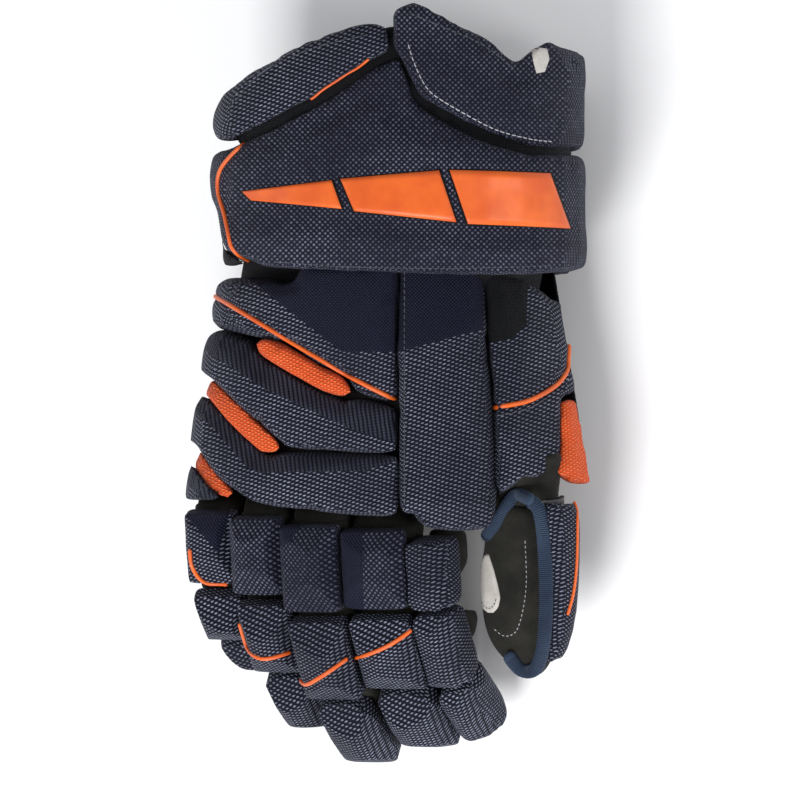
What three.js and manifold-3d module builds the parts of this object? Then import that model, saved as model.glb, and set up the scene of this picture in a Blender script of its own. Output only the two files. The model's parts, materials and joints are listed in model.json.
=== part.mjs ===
// A right-hand ice hockey glove lying palm down: an open cuff, a padded backhand, four jointed
// fingers and a thumb.
// Millimetres. +X points to the thumb side, +Y to the cuff, +Z out of the back of the hand.
import * as THREE from 'three';
import { mergeVertices } from 'three/addons/utils/BufferGeometryUtils.js';
import Module from 'manifold-3d';

const wasm = await Module();
wasm.setup();

// ---------- driving dimensions ----------
const GAP = 0.35; // between touching pieces
// the backhand pads are cut square to a direction rolled to the thumb side
const ROLL = THREE.MathUtils.degToRad(24);
const ROLL_HEIGHT = 70; // the cutting plane's axis stands this high

// the back of the hand is an arch, wider toward the knuckles
const WRIST_END = 60;
const KNUCKLE_END = -64;
const ARCH = { middle: -28, base: 22, rise: 65, power: 2.5, fall: 0.05 };
const ARCH_LEFT = { wrist: 65.5, knuckle: 90 };
const ARCH_RIGHT = { wrist: 88, knuckle: 110 };
const PAD_THICKNESS = 18;
const SHIELD_THICKNESS = 1.4;
const BASE_THICKNESS = 4;

// the cuff is an oval tube with a flat underside
const CUFF = { x: -4.6, z: 50.48, halfWidth: 84, halfDepth: 58, power: 2.3, wall: 14, liner: 3 };
const CUFF_PALM = { wall: 9, flat: 1.6 }; // the underside is flattened where it lies on a table

// fingers: every hinge lies across the hand, and a finger keeps to its own slab between neighbours
const PIVOT_ABOVE_PALM = 14;
const STALL_HEIGHT = 21;
const PAD_TOP = 23.5; // above the hinge line
const STALL_WALL = 2.6;
const STRETCH = 6; // degrees that each hinge opens from the natural curl
const BEND_MARGIN = 3; // degrees to spare
// pitch: each segment's slope below the horizontal at rest
// bend: how much further its two finger hinges close
const FINGERS = [
  { name: 'little', left: -101.4, right: -75.8, y: -48, z: 55,
    pitch: [9, 42, 86], length: [34, 25, 23], bend: [28, 22.4] },
  { name: 'ring', left: -75.2, right: -49.8, y: -51, z: 62.5,
    pitch: [8, 34, 60], length: [36, 35, 43], bend: [36, 28.8] },
  { name: 'middle', left: -49.2, right: -21.4, y: -54.5, z: 66,
    pitch: [8, 33, 57], length: [40, 40, 50], bend: [36, 28.8] },
  { name: 'index', left: -20.8, right: 9.8, y: -56, z: 63.5,
    pitch: [8, 34, 58], length: [37, 36, 45], bend: [36, 28.8] },
];
const SEGMENTS = ['proximal', 'middle', 'tip'];
const KNUCKLE_RELIEF = { palm: 43, back: -6.5 }; // bevels at the hand end of a finger
const INDEX_SIDE_WIDTH = 20;
const INDEX_SIDE_START = 5.5; // the side pad begins below the metacarpal pad

// thumb
const THUMB = { x: 56, y: -44, z: 34, pitch: 7, yaw: -3, core: 8 }; // the core line runs above the hinge
const THUMB_SHELL = { radius: 20, wall: 5.4, from: -88, to: 62 };
const THUMB_SPLINT = { wall: 1.1, from: -52, to: 52 };
const THUMB_STALL = { halfWidth: 16.8, halfDepth: 12.6, offset: -4.6, wall: 2.4 };

// ---------- colours ----------
const NAVY = { color: 0x141826, roughness: 0.85, metalness: 0 };
const NAVY_MESH = { color: 0x1d2230, roughness: 0.9, metalness: 0 };
const ORANGE_MESH = { color: 0xe8502a, roughness: 0.8, metalness: 0 };
const ORANGE_GLOSS = { color: 0xf06a22, roughness: 0.35, metalness: 0 };
const LEATHER = { color: 0x23221f, roughness: 0.8, metalness: 0 };
const PALE_LEATHER = { color: 0xa9a6a0, roughness: 0.8, metalness: 0 };
const LINER = { color: 0xb9bcc0, roughness: 0.9, metalness: 0 };
const BINDING = { color: 0x1b2a3c, roughness: 0.8, metalness: 0 };
const PLASTIC = { color: 0xd8d8d2, roughness: 0.5, metalness: 0 };

// ---------- solids ----------
const v2 = (x, y) => new THREE.Vector2(x, y);

function signedVolume(positions, index) {
  const a = new THREE.Vector3();
  const b = new THREE.Vector3();
  const c = new THREE.Vector3();
  let sum = 0;
  for (let i = 0; i < index.length; i += 3) {
    a.fromArray(positions, 3 * index[i]);
    b.fromArray(positions, 3 * index[i + 1]);
    c.fromArray(positions, 3 * index[i + 2]);
    sum += a.dot(b.cross(c));
  }
  return sum / 6;
}

// A closed body through sections that have the same number of corners.
// place(corner, s) puts a corner in space.
function loft(sections, place) {
  const clockwise = THREE.ShapeUtils.isClockWise(sections[0]);
  const outlines = sections.map((outline) => (clockwise ? [...outline].reverse() : outline));
  const positions = [];
  outlines.forEach((outline, s) => outline.forEach((p) => positions.push(...place(p, s).toArray())));
  const n = outlines[0].length;
  const last = (outlines.length - 1) * n;
  const index = [];
  for (let s = 0; s < last; s += n) {
    for (let i = 0; i < n; i++) {
      const j = (i + 1) % n;
      index.push(s + i, s + j, s + n + j, s + i, s + n + j, s + n + i);
    }
  }
  for (const [a, b, c] of THREE.ShapeUtils.triangulateShape(outlines[0], [])) index.push(a, c, b);
  for (const [a, b, c] of THREE.ShapeUtils.triangulateShape(outlines[outlines.length - 1], [])) {
    index.push(last + a, last + b, last + c);
  }
  if (signedVolume(positions, index) < 0) {
    for (let i = 0; i < index.length; i += 3) [index[i], index[i + 1]] = [index[i + 1], index[i]];
  }
  const geometry = new THREE.BufferGeometry();
  geometry.setAttribute('position', new THREE.Float32BufferAttribute(positions, 3));
  geometry.setIndex(index);
  return geometry;
}

function solid(geometry) {
  const bare = geometry.clone();
  bare.deleteAttribute('normal');
  bare.deleteAttribute('uv');
  const merged = mergeVertices(bare, 1e-5);
  return new wasm.Manifold(new wasm.Mesh({
    numProp: 3,
    vertProperties: Float32Array.from(merged.attributes.position.array),
    triVerts: Uint32Array.from(merged.index.array),
  }));
}

function surface(body) {
  const mesh = body.getMesh();
  const geometry = new THREE.BufferGeometry();
  geometry.setAttribute('position', new THREE.BufferAttribute(new Float32Array(mesh.vertProperties), 3));
  geometry.setIndex(new THREE.BufferAttribute(new Uint32Array(mesh.triVerts), 1));
  return geometry;
}

const both = (a, b) => surface(solid(a).intersect(solid(b)));
const cut = (a, b) => surface(solid(a).subtract(solid(b)));

function piece(group, name, geometry, finish) {
  geometry.computeVertexNormals();
  const mesh = new THREE.Mesh(geometry, new THREE.MeshStandardMaterial(finish));
  mesh.name = name;
  group.add(mesh);
  return mesh;
}

// ---------- outlines ----------
// half of a superellipse, from the right end over the top to the left end
function archLine(right, left, rise, count) {
  const points = [];
  for (let i = 0; i <= count; i++) {
    const angle = Math.PI * i / count;
    const c = Math.cos(angle);
    const s = Math.sin(angle);
    const k = 2 / ARCH.power;
    const half = c > 0 ? right : left;
    points.push(v2(Math.sign(c) * half * Math.abs(c) ** k, rise * Math.abs(s) ** k));
  }
  return points;
}

// the backhand arch between two depths below its outer surface, from the wrist end to the knuckle end
function archBand(outer, inner, yHigh = WRIST_END, yLow = KNUCKLE_END) {
  const at = (y, ends) => THREE.MathUtils.mapLinear(y, WRIST_END, KNUCKLE_END, ends.wrist, ends.knuckle);
  const section = (y) => {
    const line = (depth) => (
      archLine(at(y, ARCH_RIGHT) - depth, at(y, ARCH_LEFT) - depth, ARCH.rise - depth, 22));
    return [...line(outer), ...line(inner).reverse()];
  };
  const ys = [yHigh, yLow];
  const place = (p, s) => new THREE.Vector3(ARCH.middle + p.x, ys[s], ARCH.base + ARCH.fall * ys[s] + p.y);
  return loft(ys.map(section), place);
}

// a straight prism of an outline, cut along the rolled direction
function rolledPrism(outline, low = -90, high = 90) {
  const c = Math.cos(ROLL);
  const s = Math.sin(ROLL);
  const corners = outline.map(([x, y]) => v2(x, y));
  const heights = [low, high];
  const place = (p, i) => new THREE.Vector3(
    p.x * c + heights[i] * s, p.y, ROLL_HEIGHT - p.x * s + heights[i] * c);
  return loft([corners, corners], place);
}

// a strip of even width along a polyline, as an outline
function strip(line, width) {
  const side = (sign) => line.map(([x, y], i) => {
    const a = line[Math.max(i - 1, 0)];
    const b = line[Math.min(i + 1, line.length - 1)];
    const n = v2(b[1] - a[1], a[0] - b[0]).normalize().multiplyScalar(sign * width / 2);
    return [x + n.x, y + n.y];
  });
  return [...side(1), ...side(-1).reverse()];
}

function roundedBox(x0, x1, z0, z1, radii, steps = 3) {
  // radii: right-top, left-top, left-bottom, right-bottom
  const corners = [[x1, z1, -1, -1, 0], [x0, z1, 1, -1, 1], [x0, z0, 1, 1, 2], [x1, z0, -1, 1, 3]];
  const points = [];
  for (const [x, z, sx, sz, quarter] of corners) {
    const r = radii[quarter];
    if (r === 0) {
      points.push(v2(x, z));
      continue;
    }
    for (let i = 0; i <= steps; i++) {
      const angle = (quarter + i / steps) * Math.PI / 2;
      points.push(v2(x + sx * r + r * Math.cos(angle), z + sz * r + r * Math.sin(angle)));
    }
  }
  return points;
}

const alongY = (outline, y0, y1) => (
  loft([outline, outline], (p, s) => new THREE.Vector3(p.x, s ? y1 : y0, p.y)));
const alongX = (outline, x0, x1) => (
  loft([outline, outline], (p, s) => new THREE.Vector3(s ? x1 : x0, p.x, p.y)));

// ---------- backhand ----------
// Pad outlines on the rolled plane. Neighbours share a seam line, and each keeps half a gap from it.
const INSERT_UPPER = [[-60, 21.6], [-57, 24], [-47, 20.4], [-30.5, 10.2], [-20.8, 6.4], [-16.4, 0.8],
  [-19.4, -1.1], [-28.8, 2], [-44.2, 10.4], [-56.2, 17.8]];
const INSERT_MIDDLE = [[-84.5, 4.4], [-80.5, 7.6], [-66.2, -5.2], [-49.6, -21], [-48.6, -24.3],
  [-52, -25.8], [-57, -25.2], [-70.6, -11.4]];
const INSERT_LOWER = [[-89.8, -25.2], [-86.2, -22.2], [-77.8, -34.6], [-68.4, -44], [-71.6, -46],
  [-79.4, -41], [-88.6, -28.4]];
const UPPER_PAD = [[-95, 49.6], [-44, 49.6], [-38, 58.5], [4, 58.5], [4, -4.9], [-14, 0.2], [-15.4, 2],
  [-20, 7.6], [-30, 11.4], [-46.6, 21.6], [-56.6, 25.2], [-78, 30.6], [-96, 34]];
const UPPER_ROLL = [[-96, 32.8], [-78, 29.4], [-61.2, 23], [-61.6, 21], [-57.2, 16.6], [-44.8, 9.4],
  [-29.2, 0.8], [-19.4, -2.3], [-14.6, -0.9], [4, -6.1], [4, -25.3], [-42.2, -24.6], [-47.4, -23],
  [-48.6, -20.4], [-65.4, -4.4], [-78.8, 8.6], [-96, 13.4]];
const LOWER_ROLL = [[-98, 3.6], [-85.2, 3.4], [-71.4, -12.2], [-57.2, -26.4], [-51.8, -27],
  [-48.2, -26], [4, -26.5], [4, -53.4], [-44, -51.6], [-62.4, -47.6], [-67, -43.2], [-76.6, -34],
  [-85.2, -21.2], [-98, -18.8]];
const SIDE_ROLL = [[-100, -20.4], [-90.8, -22.8], [-91.2, -25.8], [-89.6, -29.4], [-80, -42.2],
  [-75, -45.6], [-75, -47.4], [-100, -47.4]];
const INDEX_PAD = [[4.8, 58.5], [41, 58.5], [41.2, 29], [44, 2], [45.8, -28], [45.8, -56], [43.6, -59.8],
  [14.6, -59.8], [11.6, -53.4], [4.8, -53.4]];
const GUSSET = [[41.8, 56], [54, 52], [70, 42], [100, 42], [100, -1.4], [74.2, -1.4], [74, -24],
  [71.8, -36.4], [64, -37.6], [57, -37.6], [46.6, -46], [46.6, -28], [44.8, 2], [42, 29]];
const THUMB_INSERT = [[74.9, -2.2], [96, -2.2], [96, -40.4], [79.6, -40.4], [72.7, -36], [74.8, -24.2]];
const BACKHAND_PIPING = [[-95, 46], [-77, 42.4], [-40, 20.6], [-14, 5.4], [3, -3]];
const GUSSET_PIPING = [[46.4, -6.4], [60.7, -3.5], [72, 2.6], [77, 8], [84, 21]];
const WEB_BINDING = [[43, -63], [48.3, -58.2], [50.2, -48.4], [58, -40.6], [63.4, -40]];
const BINDING_WIDTH = 3.2;
const PIPING_WIDTH = 2;
const PIPING_DEPTH = 3.6;
const PIPING_PROUD = 0.9;

function padOnArch(outline, top = 0, bottom = PAD_THICKNESS, low = -90) {
  return both(rolledPrism(outline, low), archBand(top, bottom));
}

// a line made longer at both ends
function extended(line, by) {
  const reach = (a, b) => {
    const step = v2(a[0] - b[0], a[1] - b[1]).setLength(by);
    return [a[0] + step.x, a[1] + step.y];
  };
  return [reach(line[0], line[1]), ...line.slice(1, -1), reach(line[line.length - 1], line[line.length - 2])];
}

function groovedPad(outline, pipingLine) {
  const wide = strip(extended(pipingLine, 1.5), PIPING_WIDTH + 2 * GAP);
  const groove = both(rolledPrism(wide), archBand(-2, PIPING_DEPTH + GAP));
  return cut(padOnArch(outline), groove);
}

function piping(line) {
  return both(rolledPrism(strip(line, PIPING_WIDTH)), archBand(-PIPING_PROUD, PIPING_DEPTH));
}

function backhand(group) {
  piece(group, 'backhand_upper_pad', groovedPad(UPPER_PAD, BACKHAND_PIPING), NAVY);
  piece(group, 'backhand_piping', piping(BACKHAND_PIPING), ORANGE_GLOSS);
  piece(group, 'backhand_roll_upper', padOnArch(UPPER_ROLL), NAVY);
  piece(group, 'backhand_roll_lower', padOnArch(LOWER_ROLL), NAVY);
  piece(group, 'backhand_roll_side', padOnArch(SIDE_ROLL), NAVY_MESH);
  piece(group, 'backhand_insert_upper', padOnArch(INSERT_UPPER, 3, PAD_THICKNESS, -40), ORANGE_MESH);
  piece(group, 'backhand_insert_middle', padOnArch(INSERT_MIDDLE, 3), ORANGE_MESH);
  piece(group, 'backhand_insert_lower', padOnArch(INSERT_LOWER, 3), ORANGE_MESH);
  piece(group, 'index_metacarpal_pad', padOnArch(INDEX_PAD, -3), NAVY);
  piece(group, 'thumb_gusset', groovedPad(GUSSET, GUSSET_PIPING), NAVY_MESH);
  piece(group, 'gusset_piping', piping(GUSSET_PIPING), ORANGE_GLOSS);
  piece(group, 'thumb_insert', padOnArch(THUMB_INSERT, 2), ORANGE_MESH);
  piece(group, 'web_binding', both(rolledPrism(strip(WEB_BINDING, BINDING_WIDTH)), archBand(1, 5.5)), BINDING);
  const shieldTop = PAD_THICKNESS + 1;
  const shieldArea = [[-74, 46], [40, 46], [40, -40], [-60, -40], [-74, -20]];
  const shield = padOnArch(shieldArea, shieldTop, shieldTop + SHIELD_THICKNESS, -40);
  piece(group, 'backhand_shield', shield, PLASTIC);
  const baseTop = shieldTop + SHIELD_THICKNESS + 0.5;
  const base = archBand(baseTop, baseTop + BASE_THICKNESS, 49, -41);
  piece(group, 'backhand_base', base, LINER);
}

// ---------- palm ----------
const PALM_SECTIONS = [
  { y: 50, edgeLeft: -70, edgeRight: 46, z: 9, cup: 2 },
  { y: 5, edgeLeft: -80, edgeRight: 46, z: 15, cup: 4 },
  { y: -41, edgeLeft: -84, edgeRight: 42, z: 39, cup: 13 },
];
const PALM_THICKNESS = 3;

function palmSheet(thickness, lift, sections = PALM_SECTIONS) {
  const count = 10;
  const outlines = sections.map((section) => {
    const line = (up) => Array.from({ length: count + 1 }, (_, i) => {
      const t = i / count;
      const x = THREE.MathUtils.lerp(section.edgeLeft, section.edgeRight, t);
      return v2(x, section.z - section.cup * (1 - t) ** 2 + up);
    });
    return [...line(lift), ...line(lift + thickness).reverse()];
  });
  return loft(outlines, (p, s) => new THREE.Vector3(p.x, sections[s].y, p.y));
}

function palm(group) {
  piece(group, 'palm_leather', palmSheet(PALM_THICKNESS, 0), LEATHER);
  const patch = [
    { y: 40, edgeLeft: -60, edgeRight: 34, z: 10, cup: 2 },
    { y: 5, edgeLeft: -66, edgeRight: 36, z: 14.6, cup: 4 },
    { y: -30, edgeLeft: -62, edgeRight: 36, z: 32, cup: 8 },
  ];
  piece(group, 'palm_patch', palmSheet(1.4, -3.4, patch), PALE_LEATHER);
}

// ---------- cuff ----------
function ovalLine(inset, from, to, count) {
  const points = [];
  for (let i = 0; i <= count; i++) {
    const angle = THREE.MathUtils.degToRad(THREE.MathUtils.lerp(from, to, i / count));
    const c = Math.cos(angle);
    const s = Math.sin(angle);
    const k = 2 / CUFF.power;
    points.push(v2(
      CUFF.x + Math.sign(c) * (CUFF.halfWidth - inset) * Math.abs(c) ** k,
      CUFF.z + Math.sign(s) * (CUFF.halfDepth - inset) * Math.abs(s) ** k));
  }
  return points;
}

function ovalBand(outer, inner, from, to, y0, y1, count = 20) {
  const outline = [...ovalLine(outer, from, to, count), ...ovalLine(inner, from, to, count).reverse()];
  return alongY(outline, y0, y1);
}

const CUFF_ROLL = [[-70.6, 107.6], [-63, 112], [-33.6, 126.2], [-8, 143], [2.4, 147.4], [3.6, 146.6],
  [11.4, 127.4], [30.6, 115.2], [46, 108.4], [61, 104.2], [70, 104.4], [100, 104.4], [100, 57.4],
  [84, 54], [70, 51], [40, 50.2], [-50, 53.4], [-58.5, 55.4], [-67.2, 59.6], [-71.6, 64], [-72.6, 69.5],
  [-74.8, 79.6], [-78.2, 88], [-100, 91], [-100, 104]];
const ULNAR_FLARE = [[-100, 108], [-72, 110.6], [-63.4, 113.6], [-34.2, 127.6], [-8.6, 144.6],
  [0.8, 149], [-0.6, 160], [-6.6, 161.4], [-25, 158], [-42, 152.4], [-61, 142.2], [-73, 131.6],
  [-78, 121.6], [-100, 118]];
const THUMB_WING = [[0.6, 166], [4, 168.4], [10, 169.8], [42.6, 155.4], [56, 143.6], [62, 150.4],
  [70.4, 154.6], [77, 152.7], [100, 146], [100, 106.6], [68.6, 106.6], [61, 106.4], [46.6, 110.6],
  [31.4, 117.2], [12.6, 128.8], [4.8, 147.2], [2, 151]];
const SIDE_PANEL = [[-100, 88.4], [-79, 86.2], [-75.6, 79], [-73.4, 69], [-72.2, 63.4], [-67.8, 58.6],
  [-64, 57], [-100, 57]];
const STRIPE = [[-66, 84], [-60, 96], [62, 96], [76, 70], [-20, 74]];

function cuffPiece(outline, from, to, outer = 0, inner = CUFF.wall) {
  return both(rolledPrism(outline, -150, 150), ovalBand(outer, inner, from, to, 40, 175));
}

function cuff(group) {
  piece(group, 'cuff_roll', cuffPiece(CUFF_ROLL, -42, 204), NAVY);
  piece(group, 'cuff_ulnar_flare', cuffPiece(ULNAR_FLARE, 60, 204, 1), NAVY_MESH);
  piece(group, 'cuff_thumb_wing', cuffPiece(THUMB_WING, -42, 100, 1), NAVY);
  piece(group, 'cuff_side_panel', cuffPiece(SIDE_PANEL, 120, 204, 4, CUFF.wall), NAVY_MESH);
  piece(group, 'cuff_accent_stripe', cuffPiece(STRIPE, 10, 160, -1.4, -GAP), ORANGE_GLOSS);
  const table = new THREE.BoxGeometry(400, 400, 100);
  table.translate(0, 0, CUFF.z - CUFF.halfDepth + CUFF_PALM.flat - 50);
  piece(group, 'cuff_palm_panel', cut(ovalBand(0, CUFF_PALM.wall, 206, 316, 60, 138, 12), table), NAVY);
  const linerOuter = CUFF.wall + 0.5;
  const tube = alongY(ovalLine(linerOuter, 0, 360, 32).slice(0, -1), 65, 134);
  const hole = alongY(ovalLine(linerOuter + CUFF.liner, 0, 360, 32).slice(0, -1), 50, 180);
  piece(group, 'cuff_liner', cut(tube, hole), LINER);
}

// ---------- fingers ----------
// how a hinge's two faces lean: apart on the palm side by the bend, together on the back by the stretch
function hingeRelief(finger, s) {
  if (s === 0) return KNUCKLE_RELIEF;
  const curl = finger.pitch[s] - finger.pitch[s - 1];
  return { palm: (curl + finger.bend[s - 1] + BEND_MARGIN) / 2, back: (curl - STRETCH) / 2 - 1 };
}

// the side view of a segment between its two hinges; start moves its near end away from the hinge
function segmentSide(length, zLow, zHigh, near, far, { nose = null, start = 0 } = {}) {
  const edge = (relief, offset) => {
    const palm = Math.tan(THREE.MathUtils.degToRad(relief.palm));
    const back = Math.tan(THREE.MathUtils.degToRad(relief.back));
    const along = (z) => -GAP - offset + (z > 0 ? z * back : z * palm);
    const points = [v2(along(zHigh), zHigh)];
    if (zLow < 0 && zHigh > 0) points.push(v2(along(0), 0));
    points.push(v2(along(zLow), zLow));
    return points;
  };
  const hand = edge(near, start);
  if (nose) return [...hand, ...nose.map(([back, z]) => v2(-length + back, z))];
  const end = edge(far, 0).map((p) => v2(-length - p.x, p.y)).reverse();
  return [...hand, ...end];
}

const STALL_TOP = STALL_HEIGHT - PIVOT_ABOVE_PALM;
const PAD_NOSE = [[0.6, STALL_TOP + 0.5], [0, 12], [3, 18.4], [9, 22.4], [15, PAD_TOP]];
const STALL_NOSE = [[10, -PIVOT_ABOVE_PALM], [4, -11], [1.2, -5], [0.8, STALL_TOP]];
const SIDE_NOSE = [[14, -13], [8, -8], [6, 4], [8, 14], [14, 20.5]];

function fingerSegment(group, finger, s) {
  const name = `${finger.name}_${SEGMENTS[s]}`;
  const length = finger.length[s];
  const isTip = s === SEGMENTS.length - 1;
  const half = (finger.right - finger.left) / 2;
  const little = finger.name === 'little';
  const padLow = STALL_TOP + 0.5;
  const radii = little ? [6, 12, 0, 0] : [6, 6, 0, 0];
  const padBlock = alongY(roundedBox(-half, half, padLow, PAD_TOP, radii), 10, -length - 10);
  const near = hingeRelief(finger, s);
  const far = isTip ? null : hingeRelief(finger, s + 1);
  const ends = (low, high, options, x0 = -half - 1, x1 = half + 1) => alongX(
    segmentSide(length, low, high, near, far, { ...options, nose: isTip ? options.nose : null }), x0, x1);
  piece(group, `${name}_pad`, both(padBlock, ends(padLow, PAD_TOP, { nose: PAD_NOSE })), NAVY);

  const wide = half - 0.4;
  const block = alongY(roundedBox(-wide, wide, -PIVOT_ABOVE_PALM, STALL_TOP, [1, 1, 6, 6]), 10, -length - 10);
  const inside = roundedBox(-wide + STALL_WALL, wide - STALL_WALL, -PIVOT_ABOVE_PALM + STALL_WALL,
    STALL_TOP - STALL_WALL, [3, 3, 4, 4], 2);
  const hollow = alongY(inside, 12, isTip ? -length + 9 : -length - 12);
  const stall = both(block, ends(-PIVOT_ABOVE_PALM, STALL_TOP, { nose: STALL_NOSE }));
  piece(group, `${name}_stall`, cut(stall, hollow), LEATHER);

  if (finger.name === 'index') {
    const far = half + INDEX_SIDE_WIDTH;
    const outline = [v2(half + 0.6, -7), v2(half + 7, -13), v2(far - 5, -10), v2(far, -1), v2(far - 1, 8),
      v2(far - 6, 15), v2(far - 12, 19), v2(half + 0.6, 20.5)];
    const sideEnds = ends(-13, 20.5, { nose: SIDE_NOSE, start: s === 0 ? INDEX_SIDE_START : 0 }, half, far + 1);
    piece(group, `${name}_side_pad`, both(alongY(outline, 10, -length - 10), sideEnds), NAVY_MESH);
  }
}

function fingerAssembly(group, finger) {
  let parent = group;
  let pitch = 0;
  for (let s = 0; s < SEGMENTS.length; s++) {
    const segment = new THREE.Group();
    if (s === 0) segment.position.set((finger.left + finger.right) / 2, finger.y, finger.z);
    else segment.position.set(0, -finger.length[s - 1], 0);
    segment.rotation.x = THREE.MathUtils.degToRad(finger.pitch[s] - pitch);
    pitch = finger.pitch[s];
    parent.add(segment);
    fingerSegment(segment, finger, s);
    parent = segment;
  }
}

// ---------- thumb ----------
const THUMB_TAPER = [[12, 1], [-50, 1], [-66, 0.86], [-74, 0.66]];
const THUMB_STALL_TAPER = [[12, 1], [-50, 1], [-66, 0.86], [-75, 0.6], [-80, 0.3]];
const THUMB_HOLLOW_TAPER = [[20, 1], [-50, 1], [-66, 0.82]];
const THUMB_SIDE = [[-0.6, 36], [-0.6, 0], [-11, -22], [-90, -22], [-90, 36]];

function sector(rOuter, rInner, from, to, count) {
  const arc = (r) => Array.from({ length: count + 1 }, (_, i) => {
    const angle = THREE.MathUtils.degToRad(THREE.MathUtils.lerp(from, to, i / count));
    return v2(r * Math.cos(angle), r * Math.sin(angle));
  });
  return [...arc(rOuter), ...arc(rInner).reverse()];
}

function ellipse(halfWidth, halfDepth, offset, count) {
  return Array.from({ length: count }, (_, i) => {
    const angle = 2 * Math.PI * i / count;
    return v2(offset + halfWidth * Math.cos(angle), halfDepth * Math.sin(angle));
  });
}

// a tapering body along the thumb, its end at the hand bevelled below the hinge
function alongThumb(outline, taper) {
  const body = loft(taper.map(([, k]) => outline.map((p) => v2(p.x * k, p.y * k))),
    (p, s) => new THREE.Vector3(p.x, taper[s][0], THUMB.core + p.y));
  return both(body, alongX(THUMB_SIDE.map(([y, z]) => v2(y, z)), -40, 40));
}

function thumb(group) {
  const holder = new THREE.Group();
  holder.position.set(THUMB.x, THUMB.y, THUMB.z);
  holder.rotation.set(THREE.MathUtils.degToRad(THUMB.pitch), 0, THREE.MathUtils.degToRad(THUMB.yaw));
  group.add(holder);
  const { radius, wall, from, to } = THUMB_SHELL;
  const shellInner = radius - wall;
  const shell = sector(radius, shellInner, from, to, 12);
  piece(holder, 'thumb_shell', alongThumb(shell, THUMB_TAPER), NAVY_MESH);
  const splintOuter = shellInner - 0.4;
  const splint = sector(splintOuter, splintOuter - THUMB_SPLINT.wall, THUMB_SPLINT.from, THUMB_SPLINT.to, 8);
  piece(holder, 'thumb_splint', alongThumb(splint, [[12, 1], [-50, 1]]), PLASTIC);
  const binding = sector(radius + 0.4, shellInner + 0.2, to + 1.5, to + 15, 3);
  piece(holder, 'thumb_binding', alongThumb(binding, THUMB_TAPER), BINDING);
  const { halfWidth, halfDepth, offset, wall: skin } = THUMB_STALL;
  const stall = alongThumb(ellipse(halfWidth, halfDepth, offset, 20), THUMB_STALL_TAPER);
  const hollow = loft(
    THUMB_HOLLOW_TAPER.map(([, k]) => ellipse(k * (halfWidth - skin), k * (halfDepth - skin), offset * k, 14)),
    (p, s) => new THREE.Vector3(p.x, THUMB_HOLLOW_TAPER[s][0], THUMB.core + p.y));
  piece(holder, 'thumb_stall', cut(stall, hollow), LEATHER);
}

// ---------- the glove ----------
const glove = new THREE.Group();
backhand(glove);
palm(glove);
cuff(glove);
for (const finger of FINGERS) fingerAssembly(glove, finger);
thumb(glove);

// the origin is at the middle of the underside of the glove's box
const box = new THREE.Box3().setFromObject(glove, true);
const middle = box.getCenter(new THREE.Vector3());
glove.position.set(-middle.x, -middle.y, -box.min.z);

export default glove;
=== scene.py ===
"""Looks of a right-hand ice hockey glove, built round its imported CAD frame.

Metres; +X is the thumb side, +Y the cuff and +Z up.
"""

import json
import math

import bmesh
import bpy
import numpy as np
from mathutils import Matrix, Vector, noise
from mathutils.bvhtree import BVHTree


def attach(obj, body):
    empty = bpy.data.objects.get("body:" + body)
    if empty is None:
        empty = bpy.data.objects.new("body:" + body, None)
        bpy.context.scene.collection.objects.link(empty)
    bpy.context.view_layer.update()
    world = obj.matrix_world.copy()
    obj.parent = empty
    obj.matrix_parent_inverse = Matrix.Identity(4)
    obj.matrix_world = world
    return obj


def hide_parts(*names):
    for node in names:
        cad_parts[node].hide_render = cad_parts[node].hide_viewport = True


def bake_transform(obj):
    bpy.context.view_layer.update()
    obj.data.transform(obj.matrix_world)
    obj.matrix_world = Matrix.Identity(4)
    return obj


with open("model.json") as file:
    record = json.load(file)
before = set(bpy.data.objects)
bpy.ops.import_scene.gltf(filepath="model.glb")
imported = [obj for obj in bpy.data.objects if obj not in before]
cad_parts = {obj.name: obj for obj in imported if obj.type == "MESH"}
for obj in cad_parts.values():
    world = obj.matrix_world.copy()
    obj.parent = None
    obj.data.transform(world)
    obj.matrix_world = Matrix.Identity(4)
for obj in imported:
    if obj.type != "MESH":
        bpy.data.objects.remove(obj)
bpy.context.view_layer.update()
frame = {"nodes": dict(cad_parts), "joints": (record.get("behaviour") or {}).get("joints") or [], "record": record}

MM = 0.001
ROLL = math.radians(24)  # the backhand pads are cut square to a direction rolled to the thumb side
SQUARE_ON = Vector((math.sin(ROLL), 0, math.cos(ROLL)))
ACROSS = Vector((math.cos(ROLL), 0, -math.sin(ROLL)))
ROLL_HEIGHT = 70

FINGERS = ["little", "ring", "middle", "index"]
SEGMENTS = ["proximal", "middle", "tip"]
JOINTS = {j["child"]: j for j in frame["joints"]}
# from the modelling origin to the frame's, millimetres
SHIFT = Vector(JOINTS["cuff"]["pos_m"]) / MM - Vector((-4.6, 58, 50))
# the fingers as modelled, in millimetres and degrees: the place of each across the hand, the slopes and
# lengths of its segments, how far its two hinges close, and the heights of the hand where it starts
FINGER = {
    "little": dict(left=-101.4, right=-75.8, pitch=(9, 42, 86), length=(34, 25, 23),
                   bend=(28, 22.4), hand=(28, 46)),
    "ring": dict(left=-75.2, right=-49.8, pitch=(8, 34, 60), length=(36, 35, 43),
                 bend=(36, 28.8), hand=(31, 58)),
    "middle": dict(left=-49.2, right=-21.4, pitch=(8, 33, 57), length=(40, 40, 50),
                   bend=(36, 28.8), hand=(35, 61)),
    "index": dict(left=-20.8, right=9.8, pitch=(8, 34, 58), length=(37, 36, 45),
                  bend=(36, 28.8), hand=(38, 61)),
}


def rolled(u, v, h=0.0):
    """A point of the rolled plane, millimetres, in the frame's metres."""
    return (ACROSS * u + SQUARE_ON * h + Vector((0, v, ROLL_HEIGHT)) + SHIFT) * MM


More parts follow.
